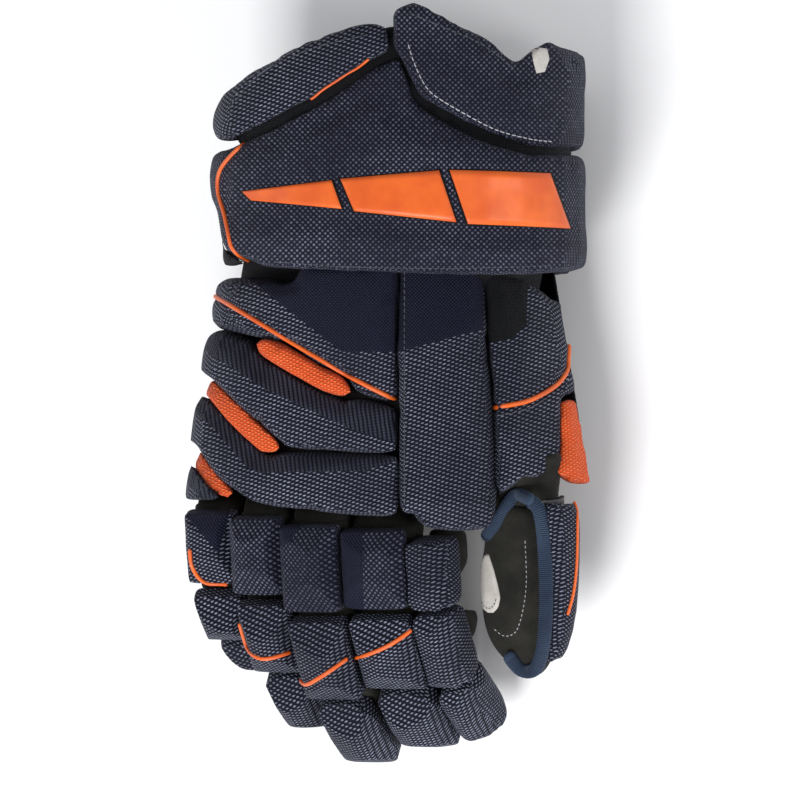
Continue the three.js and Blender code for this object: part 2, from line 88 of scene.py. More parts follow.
# ---------------------------------------------------------------- camera, light and floor
def studio():
    """A camera square on to the backhand, four soft lights and a pale floor."""
    scene = bpy.context.scene
    camera = bpy.data.objects.new("camera", bpy.data.cameras.new("camera"))
    scene.collection.objects.link(camera)
    scene.camera = camera
    aim = rolled(4.4, -3.1)
    distance = 5.0
    picture_width = 0.352
    sensor = 36
    camera.data.sensor_width = sensor
    camera.data.lens = sensor * distance / picture_width
    camera.data.clip_end = 50
    camera.location = aim + SQUARE_ON * distance
    turn = Matrix((ACROSS, Vector((0, 1, 0)), SQUARE_ON)).transposed()
    camera.rotation_mode = "QUATERNION"
    camera.rotation_quaternion = turn.to_quaternion()

    scene.view_settings.view_transform = "Standard"
    world = bpy.data.worlds.new("world")
    scene.world = world
    world.use_nodes = True
    background = world.node_tree.nodes["Background"]
    background.inputs["Color"].default_value = (0.95, 0.96, 1.0, 1)
    background.inputs["Strength"].default_value = 0.4

    def area(name, at, size, power):
        light = bpy.data.lights.new(name, "AREA")
        light.shape = "RECTANGLE"
        light.size, light.size_y = size
        light.energy = power
        lamp = bpy.data.objects.new(name, light)
        scene.collection.objects.link(lamp)
        lamp.location = at
        lamp.rotation_euler = (Vector((0.0, 0.0, 0.06)) - Vector(at)).to_track_quat("-Z", "Y").to_euler()

    area("key", (-0.15, -1.35, 1.35), (0.8, 0.8), 38)
    area("side", (1.4, -0.2, 0.75), (0.4, 0.9), 11)
    area("top", (0.45, 1.3, 1.3), (1.4, 0.6), 3)
    area("left", (-1.3, 0.1, 0.7), (0.5, 1.2), 4)

    side = 3.0
    corners = [(-side, -side, 0), (side, -side, 0), (side, side, 0), (-side, side, 0)]
    floor_mesh = bpy.data.meshes.new("floor")
    floor_mesh.from_pydata(corners, [], [(0, 1, 2, 3)])
    floor = bpy.data.objects.new("floor", floor_mesh)
    scene.collection.objects.link(floor)
    floor.location.z = -0.0012
    floor.data.materials.append(plain_floor())


# ---------------------------------------------------------------- materials
def arithmetic(operation, swapped=False):
    """A method that adds a Math node to the material."""
    def method(self, other):
        return self.nodes.math(operation, other, self) if swapped else self.nodes.math(operation, self, other)
    return method


class Value:
    """What comes out of a node. Sums and products of values become Math nodes."""

    def __init__(self, nodes, socket):
        self.nodes = nodes
        self.socket = socket

    __add__ = arithmetic("ADD")
    __radd__ = arithmetic("ADD", swapped=True)
    __sub__ = arithmetic("SUBTRACT")
    __rsub__ = arithmetic("SUBTRACT", swapped=True)
    __mul__ = arithmetic("MULTIPLY")
    __truediv__ = arithmetic("DIVIDE")
    __pow__ = arithmetic("POWER")


class Nodes:
    """A short way to write a material's node tree."""

    def __init__(self, name):
        self.material = bpy.data.materials.new(name)
        self.material.use_nodes = True
        self.tree = self.material.node_tree
        self.shader = self.tree.nodes["Principled BSDF"]

    def add(self, kind, **inputs):
        node = self.tree.nodes.new("ShaderNode" + kind)
        for key, value in inputs.items():
            self.put(node, key, value)
        return node

    def put(self, node, key, value):
        """Sets an input. Its key is a name with _ for spaces, or _ and a number."""
        socket = node.inputs[int(key[1:]) if key[0] == "_" else key.replace("_", " ")]
        if isinstance(value, Value):
            self.tree.links.new(value.socket, socket)
        else:
            socket.default_value = value

    def math(self, operation, a, b=0.0):
        node = self.add("Math", _0=a, _1=b)
        node.operation = operation
        return Value(self, node.outputs[0])

    def floor(self, a):
        return self.math("FLOOR", a)

    def wave(self, a):
        """The height of a row of round threads, one for each whole number."""
        return self.math("ABSOLUTE", self.math("SINE", a * math.pi))

    def mix(self, factor, a, b):
        node = self.tree.nodes.new("ShaderNodeMix")
        node.data_type = "RGBA"
        self.put(node, "_0", factor)
        self.put(node, "_6", (*a, 1))
        self.put(node, "_7", (*b, 1))
        return Value(self, node.outputs[2])

    def solid(self):
        return Value(self, self.add("TexCoord").outputs["Object"])

    def noise(self, vector, scale, detail, roughness=0.5):
        node = self.add("TexNoise", Vector=vector, Scale=scale, Detail=detail, Roughness=roughness)
        return Value(self, node.outputs[0])

    def chance(self, x, y):
        """A random number for each pair of whole numbers."""
        at = self.add("CombineXYZ", X=x, Y=y)
        node = self.add("TexWhiteNoise")
        node.noise_dimensions = "2D"
        self.put(node, "Vector", Value(self, at.outputs[0]))
        return Value(self, node.outputs["Value"])

    def ramp(self, value, low, high):
        node = self.add("MapRange", Value=value, From_Min=low, From_Max=high)
        node.interpolation_type = "SMOOTHSTEP"
        return Value(self, node.outputs[0])

    def bump(self, height, strength, distance):
        return Value(self, self.add("Bump", Height=height, Strength=strength, Distance=distance).outputs[0])

    def surface(self, colour, roughness, normal, **fixed):
        self.put(self.shader, "Base_Color", colour)
        self.put(self.shader, "Roughness", roughness)
        if normal is not None:
            self.put(self.shader, "Normal", normal)
        for key, value in fixed.items():
            self.put(self.shader, key, value)
        return self.material


def cloth_coordinates(n):
    """Thread coordinates in millimetres from the piece's cloth UV map, and its own 3-D coordinates."""
    uv = n.add("UVMap")
    uv.uv_map = "cloth"
    parts = n.add("SeparateXYZ", Vector=Value(n, uv.outputs[0]))
    return Value(n, parts.outputs[0]), Value(n, parts.outputs[1]), n.solid()


def turned(x, y, angle):
    """Coordinates turned round the origin."""
    c, s = math.cos(angle), math.sin(angle)
    return x * c + y * s, y * c - x * s


def mesh_fabric(name, dark, light, sheen, cell=(2.35, 1.45), thread=0.85, glint_patchiness=0.5):
    """Coarse air mesh: bright slanted threads in brick rows over a dark ground; their brightness is partly the
    yarn's own and partly painted highlight, varied cell by cell and in large patches.
    """
    n = Nodes(name)
    x, y, solid = cloth_coordinates(n)
    drift = (n.noise(solid, 140, 2) - 0.5) * 0.9
    u, v = turned(x + drift, y + drift, 0.6)
    v = v / cell[1]
    row = n.floor(v)
    u = u / cell[0] + n.math("PINGPONG", row, 1.0) * 0.5
    du = (n.math("FRACT", u) - 0.5) * 2.0
    dv = (n.math("FRACT", v) - 0.5) * 2.0
    slant = du + dv * 0.55
    far = n.math("SQRT", n.math("ABSOLUTE", slant) ** 2.0 + n.math("ABSOLUTE", dv) ** 2.0)
    dot = n.ramp(far, 1.0, 0.25)
    # Painted highlight: each cell's threads get a random brightness and are dimmed in large noise patches, for
    # glints that change with the light.
    bright = 0.55 + n.chance(n.floor(u), row) * 0.45
    patches = n.ramp(n.noise(solid, 22, 3), 0.32, 0.72)
    glow = n.ramp(dot, 0.35, 1.0) * bright * ((1 - glint_patchiness) + patches * glint_patchiness)
    return n.surface(n.mix(glow * thread, dark, light), 0.82 - dot * 0.22, n.bump(dot, 0.9, 0.0007),
                     Specular_IOR_Level=0.16, Sheen_Weight=sheen, Sheen_Roughness=0.35,
                     Sheen_Tint=(0.72, 0.74, 0.9, 1))


def woven_fabric(name, dark, light, cell, sheen=0.25, thread=0.5):
    """Basket weave: threads that pass over and under, with brighter crests here and there."""
    n = Nodes(name)
    x, y, solid = cloth_coordinates(n)
    drift = (n.noise(solid, 120, 2) - 0.5) * 0.8
    u, v = turned(x + drift, y + drift, 0.785)
    u = u / cell
    v = v / cell
    checker = n.math("PINGPONG", n.floor(u) + n.floor(v), 1.0)
    height = n.wave(u) * n.wave(v) * (0.86 + checker * 0.14)
    patches = n.ramp(n.noise(solid, 26, 3), 0.3, 0.7)
    crest = n.ramp(height, 0.3, 0.85) * (0.4 + n.chance(n.floor(u), n.floor(v)) * 0.6)
    glow = crest * (0.45 + patches * 0.55)
    return n.surface(n.mix(glow * thread, dark, light), 0.78 - height * 0.2, n.bump(height, 0.9, 0.0006),
                     Specular_IOR_Level=0.16, Sheen_Weight=sheen, Sheen_Roughness=0.35,
                     Sheen_Tint=(0.7, 0.73, 0.9, 1))


def rib_shade_fabric(name, dark, light):
    """Stretch fabric with fine ribs, dotted where the crossing yarn shows; its dark colours are painted shade for
    the rolls' bevels that face away from the light.
    """
    n = Nodes(name)
    x, y, solid = cloth_coordinates(n)
    drift = (n.noise(solid, 90, 2) - 0.5) * 0.8
    u, v = turned(x + drift, y, 0.15)
    yarn = n.math("ABSOLUTE", n.math("SINE", v * 2.4))
    height = n.ramp(n.wave(u / 1.9), 0.25, 0.95) * (0.55 + yarn * 0.45)
    patches = n.ramp(n.noise(solid, 24, 3), 0.3, 0.75)
    glow = height * (0.35 + patches * 0.65)
    return n.surface(n.mix(glow, dark, light), 0.8, n.bump(height, 0.8, 0.0006),
                     Specular_IOR_Level=0.14, Sheen_Weight=0.03)


def ribbed_tape(name, dark, light):
    """Binding tape with ribs across its length and a soft fuzz."""
    n = Nodes(name)
    x, _, solid = cloth_coordinates(n)
    height = n.wave(x / 0.9) * (0.7 + n.noise(solid, 420, 3) * 0.6)
    colour = n.mix(height * n.ramp(n.noise(solid, 45, 2), 0.2, 0.8), dark, light)
    return n.surface(colour, 0.8, n.bump(height, 0.8, 0.0005), Specular_IOR_Level=0.15,
                     Sheen_Weight=0.12, Sheen_Roughness=0.5, Sheen_Tint=(0.6, 0.7, 0.9, 1))


def gloss_trim(name, colour, deep):
    """Moulded or coated trim with a faint flow pattern and small scuffs."""
    n = Nodes(name)
    solid = n.solid()
    clouds = n.ramp(n.noise(solid, 60, 3), 0.3, 0.75)
    scuffs = n.noise(solid, 900, 4, 0.7)
    return n.surface(n.mix(clouds, deep, colour), 0.38 + scuffs * 0.22, n.bump(scuffs, 0.08, 0.0002),
                     Specular_IOR_Level=0.35, Coat_Weight=0.12, Coat_Roughness=0.25)


def leather(name, dark, light, grain=900, nap=0.5, sheen=0.2):
    """Suede or smooth leather: pores, a fuzzy nap and paler clouds. Thread is a very fine one."""
    n = Nodes(name)
    solid = n.solid()
    cells = n.add("TexVoronoi", Vector=solid, Scale=grain)
    cells.feature = "DISTANCE_TO_EDGE"
    pores = n.ramp(Value(n, cells.outputs["Distance"]), 0.0, 0.25)
    fuzz = n.noise(solid, 700, 5, 0.7)
    clouds = n.ramp(n.noise(solid, 55, 4, 0.6), 0.3, 0.72)
    colour = n.mix(clouds * (1 - nap) + fuzz * nap, dark, light)
    height = pores * 0.5 + fuzz * 0.5
    return n.surface(colour, 0.85 - clouds * 0.12, n.bump(height, 0.45, 0.0004),
                     Specular_IOR_Level=0.14, Sheen_Weight=sheen, Sheen_Roughness=0.5)


def plastic_sheet(name, dark, light):
    """Stippled plastic of the hidden stiffeners."""
    n = Nodes(name)
    solid = n.solid()
    stipple = n.noise(solid, 800, 3)
    return n.surface(n.mix(n.noise(solid, 30, 2), dark, light), 0.4 + stipple * 0.2,
                     n.bump(stipple, 0.2, 0.0002))


def plain_floor():
    """Pale matt paper."""
    n = Nodes("floor")
    return n.surface(n.mix(n.noise(n.solid(), 6, 2), (0.9, 0.9, 0.91), (0.93, 0.93, 0.94)), 0.9, None)


COARSE = mesh_fabric("coarse_mesh", (0.0022, 0.0028, 0.009), (0.3, 0.32, 0.43), sheen=0.05)
ORANGE = mesh_fabric("orange_mesh", (0.6, 0.07, 0.014), (0.98, 0.27, 0.09), sheen=0.08,
                     cell=(1.7, 1.4), thread=0.9, glint_patchiness=0.25)
WOVEN = woven_fabric("navy_weave", (0.0024, 0.003, 0.011), (0.17, 0.18, 0.25), 1.75, sheen=0.05, thread=0.75)
SMOOTH = woven_fabric("navy_plain", (0.004, 0.0048, 0.016), (0.034, 0.038, 0.08), 1.1, sheen=0.04)
DARK_KNIT = woven_fabric("dark_knit", (0.0018, 0.002, 0.003), (0.014, 0.015, 0.022), 0.9, sheen=0.03)
LINING = woven_fabric("lining", (0.2, 0.21, 0.225), (0.5, 0.52, 0.55), 0.8, thread=0.9)
# Painted shade: the ribbed cloth is much darker than the rolls' mesh, to shade their bevels.
SHADED_RIB = rib_shade_fabric("rib_painted_shade", (0.0018, 0.0022, 0.006), (0.055, 0.06, 0.095))
TAPE = ribbed_tape("rib_tape", (0.006, 0.012, 0.028), (0.04, 0.064, 0.108))
TRIM = gloss_trim("orange_trim", (0.72, 0.125, 0.012), (0.58, 0.08, 0.007))
SUEDE = leather("palm_suede", (0.004, 0.004, 0.0034), (0.024, 0.023, 0.019), sheen=0.04)
PALE = leather("pale_leather", (0.36, 0.34, 0.31), (0.6, 0.57, 0.53), nap=0.35)
THREAD = leather("stitch_thread", (0.25, 0.25, 0.27), (0.55, 0.55, 0.58), grain=2000)
DARK_THREAD = leather("dark_thread", (0.03, 0.032, 0.04), (0.09, 0.095, 0.12), grain=2000)
SHEET = plastic_sheet("shield_sheet", (0.012, 0.012, 0.014), (0.03, 0.03, 0.034))


# ---------------------------------------------------------------- meshes
def link(name, mesh, material, body=None, replaces=()):
    """A new piece. A piece without a body is left unattached."""
    made = bpy.data.objects.new(name, mesh)
    bpy.context.scene.collection.objects.link(made)
    mesh.materials.clear()
    mesh.materials.append(material)
    mesh.polygons.foreach_set("use_smooth", [True] * len(mesh.polygons))
    if body:
        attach(made, body)
    if replaces:
        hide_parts(*replaces)
    return made


def read(items, key, width=1, kind=float):
    """One property of every item, as an array."""
    values = np.empty(width * len(items), kind)
    items.foreach_get(key, values)
    return values.reshape(-1, width) if width > 1 else values


def points_of(mesh):
    """The mesh's points, a row each."""
    return read(mesh.vertices, "co", 3)


def set_points(mesh, co):
    """Moves the mesh's points."""
    mesh.vertices.foreach_set("co", np.asarray(co, float).ravel())
    mesh.update()


def normals_of(mesh):
    """The direction out of the mesh at each of its points."""
    return read(mesh.vertex_normals, "vector", 3)


def above_floor(mesh):
    """Lifts points that lie below the floor."""
    co = points_of(mesh)
    co[:, 2] = np.maximum(co[:, 2], 0.0001)
    set_points(mesh, co)


def changed(mesh, *modifiers):
    """A new mesh with modifiers applied: (type, settings) each."""
    holder = bpy.data.objects.new("holder", mesh)
    bpy.context.scene.collection.objects.link(holder)
    for kind, settings in modifiers:
        modifier = holder.modifiers.new(kind, kind)
        for key, value in settings.items():
            setattr(modifier, key, value)
    graph = bpy.context.evaluated_depsgraph_get()
    made = bpy.data.meshes.new_from_object(holder.evaluated_get(graph))
    bpy.data.objects.remove(holder)
    return made


def set_cloth(mesh, uv):
    """Stores the cloth UV map, millimetres."""
    layer = mesh.uv_layers.get("cloth") or mesh.uv_layers.new(name="cloth")
    layer.data.foreach_set("uv", np.asarray(uv).ravel())


def cloth_map(mesh, axes):
    """Lays each face flat along the piece's own axes (across, along and up) for its cloth UV map."""
    basis = np.array([list(a) for a in axes])
    normal = np.abs(read(mesh.polygons, "normal", 3) @ basis.T)
    side = np.where(normal[:, 0] >= normal[:, 1], 0, 1)
    facing = np.where(normal[:, 2] >= 0.5, 2, side)
    facing = np.repeat(facing, read(mesh.polygons, "loop_total", kind=int))
    p = (points_of(mesh) @ basis.T / MM)[read(mesh.loops, "vertex_index", kind=int)]
    u = np.where(facing == 0, p[:, 2], p[:, 0])
    v = np.where(facing == 1, p[:, 2], p[:, 1])
    set_cloth(mesh, np.stack([u, v], 1))


def sweep(points, radius, sides, flat=1.0, up=None):
    """A closed tube with round ends along points (metres). flat squeezes it along up."""
    last = len(points) - 1
    tangents = [(points[min(i + 1, last)] - points[max(i - 1, 0)]).normalized() for i in range(last + 1)]
    ups = up or [None] * len(points)
    ends = [(k * radius, math.sqrt(1 - k * k) * radius) for k in (0.94, 0.7, 0.38)]
    stations = [(points[0] - tangents[0] * past, tangents[0], r, ups[0]) for past, r in ends]
    stations += [(p, t, radius, lift) for p, t, lift in zip(points, tangents, ups)]
    stations += [(points[-1] + tangents[-1] * past, tangents[-1], r, ups[-1]) for past, r in ends[::-1]]
    side = stations[0][1].orthogonal().normalized()
    rings = []
    for p, t, r, lift in stations:
        side = lift.cross(t).normalized() if lift else (side - t * side.dot(t)).normalized()
        other = t.cross(side)
        angles = [2 * math.pi * k / sides for k in range(sides)]
        rings.append([p + side * (r * math.cos(a)) + other * (r * flat * math.sin(a)) for a in angles])
    mesh = grid_mesh(rings, close_ends=True)
    along = [0.0]
    for a, b in zip(points, points[1:]):
        along.append(along[-1] + (b - a).length / MM)
    along = np.array([0, 0, 0, *along, *[along[-1]] * 3])
    vertex = read(mesh.loops, "vertex_index", kind=int)
    set_cloth(mesh, np.stack([along[vertex // sides], vertex % sides * 2 * math.pi / sides * radius / MM], 1))
    return mesh


def smooth_line(points, step):
    """A Catmull-Rom line through points, with a point about every step."""
    p = [points[0] * 2 - points[1], *points, points[-1] * 2 - points[-2]]
    line = []
    for a, b, c, d in zip(p, p[1:], p[2:], p[3:]):
        n = max(1, round((c - b).length / step))
        for t in (k / n for k in range(n)):
            bend = (2 * a - 5 * b + 4 * c - d) * t * t + (3 * b - a - 3 * c + d) * t ** 3
            line.append(0.5 * (2 * b + (c - a) * t + bend))
    line.append(p[-2])
    return line


def relaxed(points, rounds):
    """A line with its bends evened out between its ends."""
    for _ in range(rounds):
        inner = [(a + b * 2 + c) / 4 for a, b, c in zip(points, points[1:], points[2:])]
        points = [points[0], *inner, points[-1]]
    return points


def line_length(points):
    """The length of a line through points."""
    return sum((b - a).length for a, b in zip(points, points[1:]))


def along_line(points, distance):
    """The point at a distance along a line, and the number of the stretch that it is on."""
    for i, (a, b) in enumerate(zip(points, points[1:])):
        length = (b - a).length
        if distance <= length or i == len(points) - 2:
            return a.lerp(b, min(max(distance / max(length, 1e-12), 0), 1)), i
        distance -= length


def joined(meshes):
    """Several meshes as one, with their cloth maps."""
    faces, uvs, base = [], [], 0
    for m in meshes:
        faces += [tuple(base + i for i in f.vertices) for f in m.polygons]
        base += len(m.vertices)
        has_cloth = "cloth" in m.uv_layers
        uvs.append(read(m.uv_layers["cloth"].data, "uv", 2) if has_cloth else np.zeros((len(m.loops), 2)))
    mesh = bpy.data.meshes.new("joined")
    mesh.from_pydata([tuple(v) for m in meshes for v in points_of(m)], [], faces)
    mesh.update()
    set_cloth(mesh, np.concatenate(uvs))
    return mesh


# ---------------------------------------------------------------- stuffed pads
PADS = []
# in millimetres, cap is how far the stuffing may push the cloth out, inset is how far inside the pad's outline
# the cloth starts, and wrinkle is the height of the finished cloth's waves
PAD_SETTINGS = dict(cap=1.5, inset=0.25, smooth=2, fill=0.7, axes=None, voxel=2.1, wrinkle=0.22, mesh=None)


def pad(node, slot, material, **settings):
    """Lists a pad of the frame that is to be made again as stuffed cloth."""
    PADS.append({**PAD_SETTINGS, **settings, "node": node, "slot": slot, "material": material})


def body_of_node(node):
    """The body that a node of the frame belongs to."""
    bodies = frame["record"]["behaviour"]["bodies"]
    return next(body for body, nodes in bodies.items() if node in nodes)


def is_finger(body):
    """Whether a body is a segment of a finger."""
    return body.split("_")[0] in FINGERS


def finger_axes(body):
    """Across, along (to the hand) and up of a finger segment."""
    finger, segment = body.split("_")
    slope = math.radians(FINGER[finger]["pitch"][SEGMENTS.index(segment)])
    c, s = math.cos(slope), math.sin(slope)
    return Vector((1, 0, 0)), Vector((0, c, s)), Vector((0, -s, c))


def finger_size(body):
    """Half the width of a finger and the length of its segment, millimetres."""
    finger, segment = body.split("_")
    f = FINGER[finger]
    return (f["right"] - f["left"]) / 2, f["length"][SEGMENTS.index(segment)]


ROLLED_AXES = (ACROSS, Vector((0, 1, 0)), SQUARE_ON)
FLAT_AXES = (Vector((1, 0, 0)), Vector((0, 1, 0)), Vector((0, 0, 1)))


def inflate(meshes, pads):
    """Cloth simulation of all pads at once, enlarged: pressure swells them and their caps hold them back."""
    scale = 10.0
    frames = 20
    together = joined(meshes)
    start = points_of(together)
    set_points(together, start * scale)
    holder = bpy.data.objects.new("together", together)
    bpy.context.scene.collection.objects.link(holder)
    cloth = holder.modifiers.new("Cloth", "CLOTH")
    s = cloth.settings
    s.quality = 4
    s.mass = 0.1
    s.tension_stiffness = s.compression_stiffness = 12
    s.shear_stiffness = 5
    s.bending_stiffness = 1.5
    s.use_pressure = True
    s.uniform_pressure_force = 4
    s.effector_weights.gravity = 0
    cloth.collision_settings.use_collision = False
    cloth.point_cache.frame_start = 1
    cloth.point_cache.frame_end = frames
    for f in range(1, frames + 1):
        bpy.context.scene.frame_set(f)
    graph = bpy.context.evaluated_depsgraph_get()
    swollen = points_of(holder.evaluated_get(graph).to_mesh()) / scale
    bpy.context.scene.frame_set(1)
    bpy.data.objects.remove(holder)
    first = 0
    for m, p in zip(meshes, pads):
        mine = slice(first, first + len(m.vertices))
        first = mine.stop
        move = swollen[mine] - start[mine]
        move -= move.mean(0)
        far = np.linalg.norm(move, axis=1, keepdims=True)
        move *= np.minimum(1, p["cap"] * MM / np.maximum(far, 1e-9))
        body = body_of_node(p["node"])
        if is_finger(body):  # a finger's pads swell upwards, not into their neighbours
            basis = np.array([list(a) for a in finger_axes(body)])
            move = (move @ basis.T * [0.3, 0.1, 1.0]) @ basis
        set_points(m, start[mine] + move)


def on_plane(co):
    """Points' (u, v) on the rolled plane, in millimetres."""
    local = co / MM - np.array([SHIFT.x, SHIFT.y, SHIFT.z + ROLL_HEIGHT])
    return np.stack([local @ np.array(ACROSS), local[:, 1]], 1)


def line_distance(points, line):
    """How far points of the rolled plane are from a line, millimetres."""
    best = np.full(len(points), 1e9)
    for a, b in zip(line, line[1:]):
        a, b = np.array(a, float), np.array(b, float)
        t = np.clip((points - a) @ (b - a) / ((b - a) @ (b - a)), 0, 1)
        best = np.minimum(best, np.linalg.norm(points - a - t[:, None] * (b - a), axis=1))
    return best


# outlines that the foam's cuts, its cloths and the pipings share, on the rolled plane
UPPER_CREASE = [(-84.9, 20.7), (-54.6, 1.3), (-16.3, -16.3)]
LOWER_CREASE = [(-89.8, -6.6), (-78.8, -15), (-63.4, -32.6), (-58.5, -35.2), (-11.4, -34.3)]
BACKHAND_SEAM = [(-40, 20.6), (-14, 5.4), (3, -3)]
GUSSET_SEAM = [(46.4, -6.4), (60.7, -3.5), (72, 2.6), (77, 8), (84, 21)]

# folds of the foam: (line, height, reach), millimetres; a negative height is a sewn channel
RIDGES = {
    "backhand_upper_pad": [([(-95, 46), (-77, 42.4), *BACKHAND_SEAM], -1.1, 3)],
    "index_metacarpal_pad": [([(5, 18), (41, 29)], 0.8, 8)],
    "thumb_gusset": [(GUSSET_SEAM, -1.0, 3)],
    "cuff_roll": [([(-77, 70), (-40, 64), (10, 62), (80, 64)], 1.0, 12),
                  ([(-78, 96), (-30, 106), (20, 108), (80, 100)], 1.2, 14)],
    "cuff_thumb_wing": [([(3, 150), (22, 140), (50, 124), (76, 112)], 1.0, 10),
                        ([(10, 168), (36, 150), (62, 138), (80, 140)], 1.0, 10)],
    "cuff_ulnar_flare": [([(-76, 116), (-50, 134), (-10, 154)], 1.2, 9)],
}


def finger_facets(body, side_pad):
    """Planes that a finger pad's foam is cut to, in the segment's own axes: (normal, point), millimetres."""
    finger, segment = body.split("_")
    half, length = finger_size(body)
    if side_pad:
        edge = half + 10
        return [((0.4, 0, 1), (edge, 0, 19.2)), ((-0.3, 0, 1), (edge, 0, 19.2)),
                ((1, 0, 0.55), (half + 16.5, 0, 12)), ((-1, 0, 0), (half + 0.6, 0, 0)),
                ((0, 4, 6), (0, -4, 18)), ((0, -0.8, 1), (0, -length + 5, 18.4))]
    ridge = {"little": 0.15, "ring": -0.1, "middle": 0.2, "index": -0.1}[finger] * half
    planes = [((-0.3, 0, 1), (ridge, 0, 24.4)), ((0.24, 0, 1), (ridge, 0, 24.4)),
              ((-1, 0, 0.8), (-half + 2.6, 0, 19)), ((1, 0, 0.8), (half - 2.6, 0, 19)),
              ((0, 0.8, 1), (0, -8, 23)), ((0, 4, 6), (0, -3.4, 18.6))]
    planes += [((side, 0, 0), (side * (half - 0.1), 0, 0)) for side in (1, -1)]
    if segment == "tip":
        planes += [((0, -0.45, 1), (0, -length * 0.6, 23.6)), ((0, -1.1, 1), (0, -length + 6, 20))]
        for side in (-1, 1):
            planes += [((side, -1, 0), (side * (half - 8), -length, 0)),
                       ((side, -0.4, 0), (side * (half - 2), -length + 6, 0)),
                       ((side * 0.4, -1, 0), (side * (half - 11), -length + 0.4, 0))]
    else:
        planes += [((0, -0.6, 1), (0, -length + 11, 23)), ((0, -1, 1), (0, -length + 4.5, 20.5))]
    if (finger, segment) == ("index", "proximal"):
        planes.append(((0.8, 0.55, 1), (half - 6.5, -9, 20.5)))
    return planes


def facetted(local, planes):
    """Points pressed back to the inner side of each plane: the flat faces that foam is cut with."""
    for normal, point in planes:
        n = np.array(normal) / np.linalg.norm(normal)
        above = np.maximum((local - np.array(point)) @ n, 0)
        local = local - above[:, None] * n
    return local


def domed(local, body, side_pad):
    """Fingertip pads are rounded in plan and crowned; the pads before them are crowned a little."""
    segment = body.split("_")[1]
    half, length = finger_size(body)
    middle = half + 10 if side_pad else 0
    reach = 10.5 if side_pad else half + 0.3
    x, y = (local[:, 0] - middle) / reach, (local[:, 1] + length / 2) / (length / 2 + 0.6)
    power = 3.2 if segment == "tip" else 8
    r = (np.abs(x) ** power + np.abs(y) ** power) ** (1 / power)
    pull = 1 / np.maximum(r, 1)
    crown = {"proximal": 1.0, "middle": 2.2, "tip": 4.5}[segment]
    z = local[:, 2]
    z = z - crown * np.clip(r, 0, 1.1) ** 2.5 * np.clip(z / 22, 0, 1)
    if side_pad and segment != "tip":
        pull = np.ones(len(pull))
    return np.stack([middle + x * pull * reach, y * pull * (length / 2 + 0.6) - length / 2, z], 1)


# slopes cut into the foam: (crease, side of it that falls, fall in mm for each mm, its most in mm)
CREASES = {
    "backhand_upper_pad": [([(-68, 51.5), (-21, 18), (4, 17)], 1, 0.22, 5)],
    "backhand_roll_upper": [([*UPPER_CREASE, (4, -22.9)], -1, 0.5, 9)],
    "backhand_roll_lower": [([*LOWER_CREASE, (4, -29.9)], -1, 0.5, 9)],
    "index_metacarpal_pad": [([(5.3, 18), (40.9, 29)], -1, 0.16, 5), ([(37, 70), (36.5, -70)], -1, 0.5, 5),
                             ([(-10, -48.5), (60, -48.5)], 1, 0.6, 5)],
    "thumb_gusset": [([(56, 60), (60, 30), (55, -10), (47, -40)], -1, 0.3, 6)],
    "cuff_roll": [([(-80, 64), (-40, 60.5), (60, 62), (95, 66)], 1, 0.45, 5)],
}


def creased(co, line, side, slope, most, tree):
    """Points past a crease sink more the further they are from it, and the pad's bottom stays."""
    foam_depth = 14
    flat = on_plane(co)
    signed = np.full(len(flat), 1e9)
    for a, b in zip(line, line[1:]):
        a, b = np.array(a, float), np.array(b, float)
        along = (b - a) / np.linalg.norm(b - a)
        t = np.clip((flat - a) @ along, 0, np.linalg.norm(b - a))
        gap = flat - a - t[:, None] * along
        far = np.linalg.norm(gap, axis=1) * np.where(gap @ np.array([along[1], -along[0]]) * side > 0, 1, -1)
        signed = np.where(np.abs(far) < np.abs(signed), far, signed)
    sink = np.clip(signed * slope, 0, most)
    down = -SQUARE_ON
    for i in np.nonzero(sink > 0)[0]:
        hit = tree.ray_cast(Vector(co[i]) - down * 0.09, down)[0]
        depth = (Vector(co[i]) - hit).dot(down) / MM if hit else 0
        co[i] += np.array(down) * sink[i] * min(max(1 - depth / foam_depth, 0), 1) * MM
    return co


def shape_pad(p, mesh):
    """Cuts a swollen pad's foam to its facets, creases and ridges."""
    node = p["node"]
    co, no = points_of(mesh), normals_of(mesh)
    body = body_of_node(node)
    if is_finger(body):
        hinge = np.array(JOINTS[body]["pos_m"])
        basis = np.array([list(a) for a in finger_axes(body)])
        local = (co - hinge) @ basis.T / MM
        side_pad = "_side_" in node
        local = domed(facetted(local, finger_facets(body, side_pad)), body, side_pad)
        co = local @ basis * MM + hinge
    if node in CREASES:
        tree = BVHTree.FromPolygons([Vector(c) for c in co], [tuple(f.vertices) for f in mesh.polygons])
        for line, side, slope, most in CREASES[node]:
            co = creased(co, line, side, slope, most, tree)
    flat = on_plane(co)
    for line, height, reach in RIDGES.get(node, []):
        d = line_distance(flat, line) / reach
        lift = np.maximum(0, 1 - d) if height > 0 else np.exp(-(d * 1.6) ** 2)
        co = co + no * (lift * height * MM)[:, None]
    set_points(mesh, co)
    above_floor(mesh)
    return changed(mesh, ("SMOOTH", dict(factor=0.5, iterations=1)))


def wrinkled(mesh, height):
    """Waves of the finished cloth, two sizes of them."""
    co = points_of(mesh)
    lift = np.array([noise.noise(Vector(c) * 55) + 0.5 * noise.noise(Vector(c) * 140) for c in co])
    set_points(mesh, co + normals_of(mesh) * lift[:, None] * height * MM)


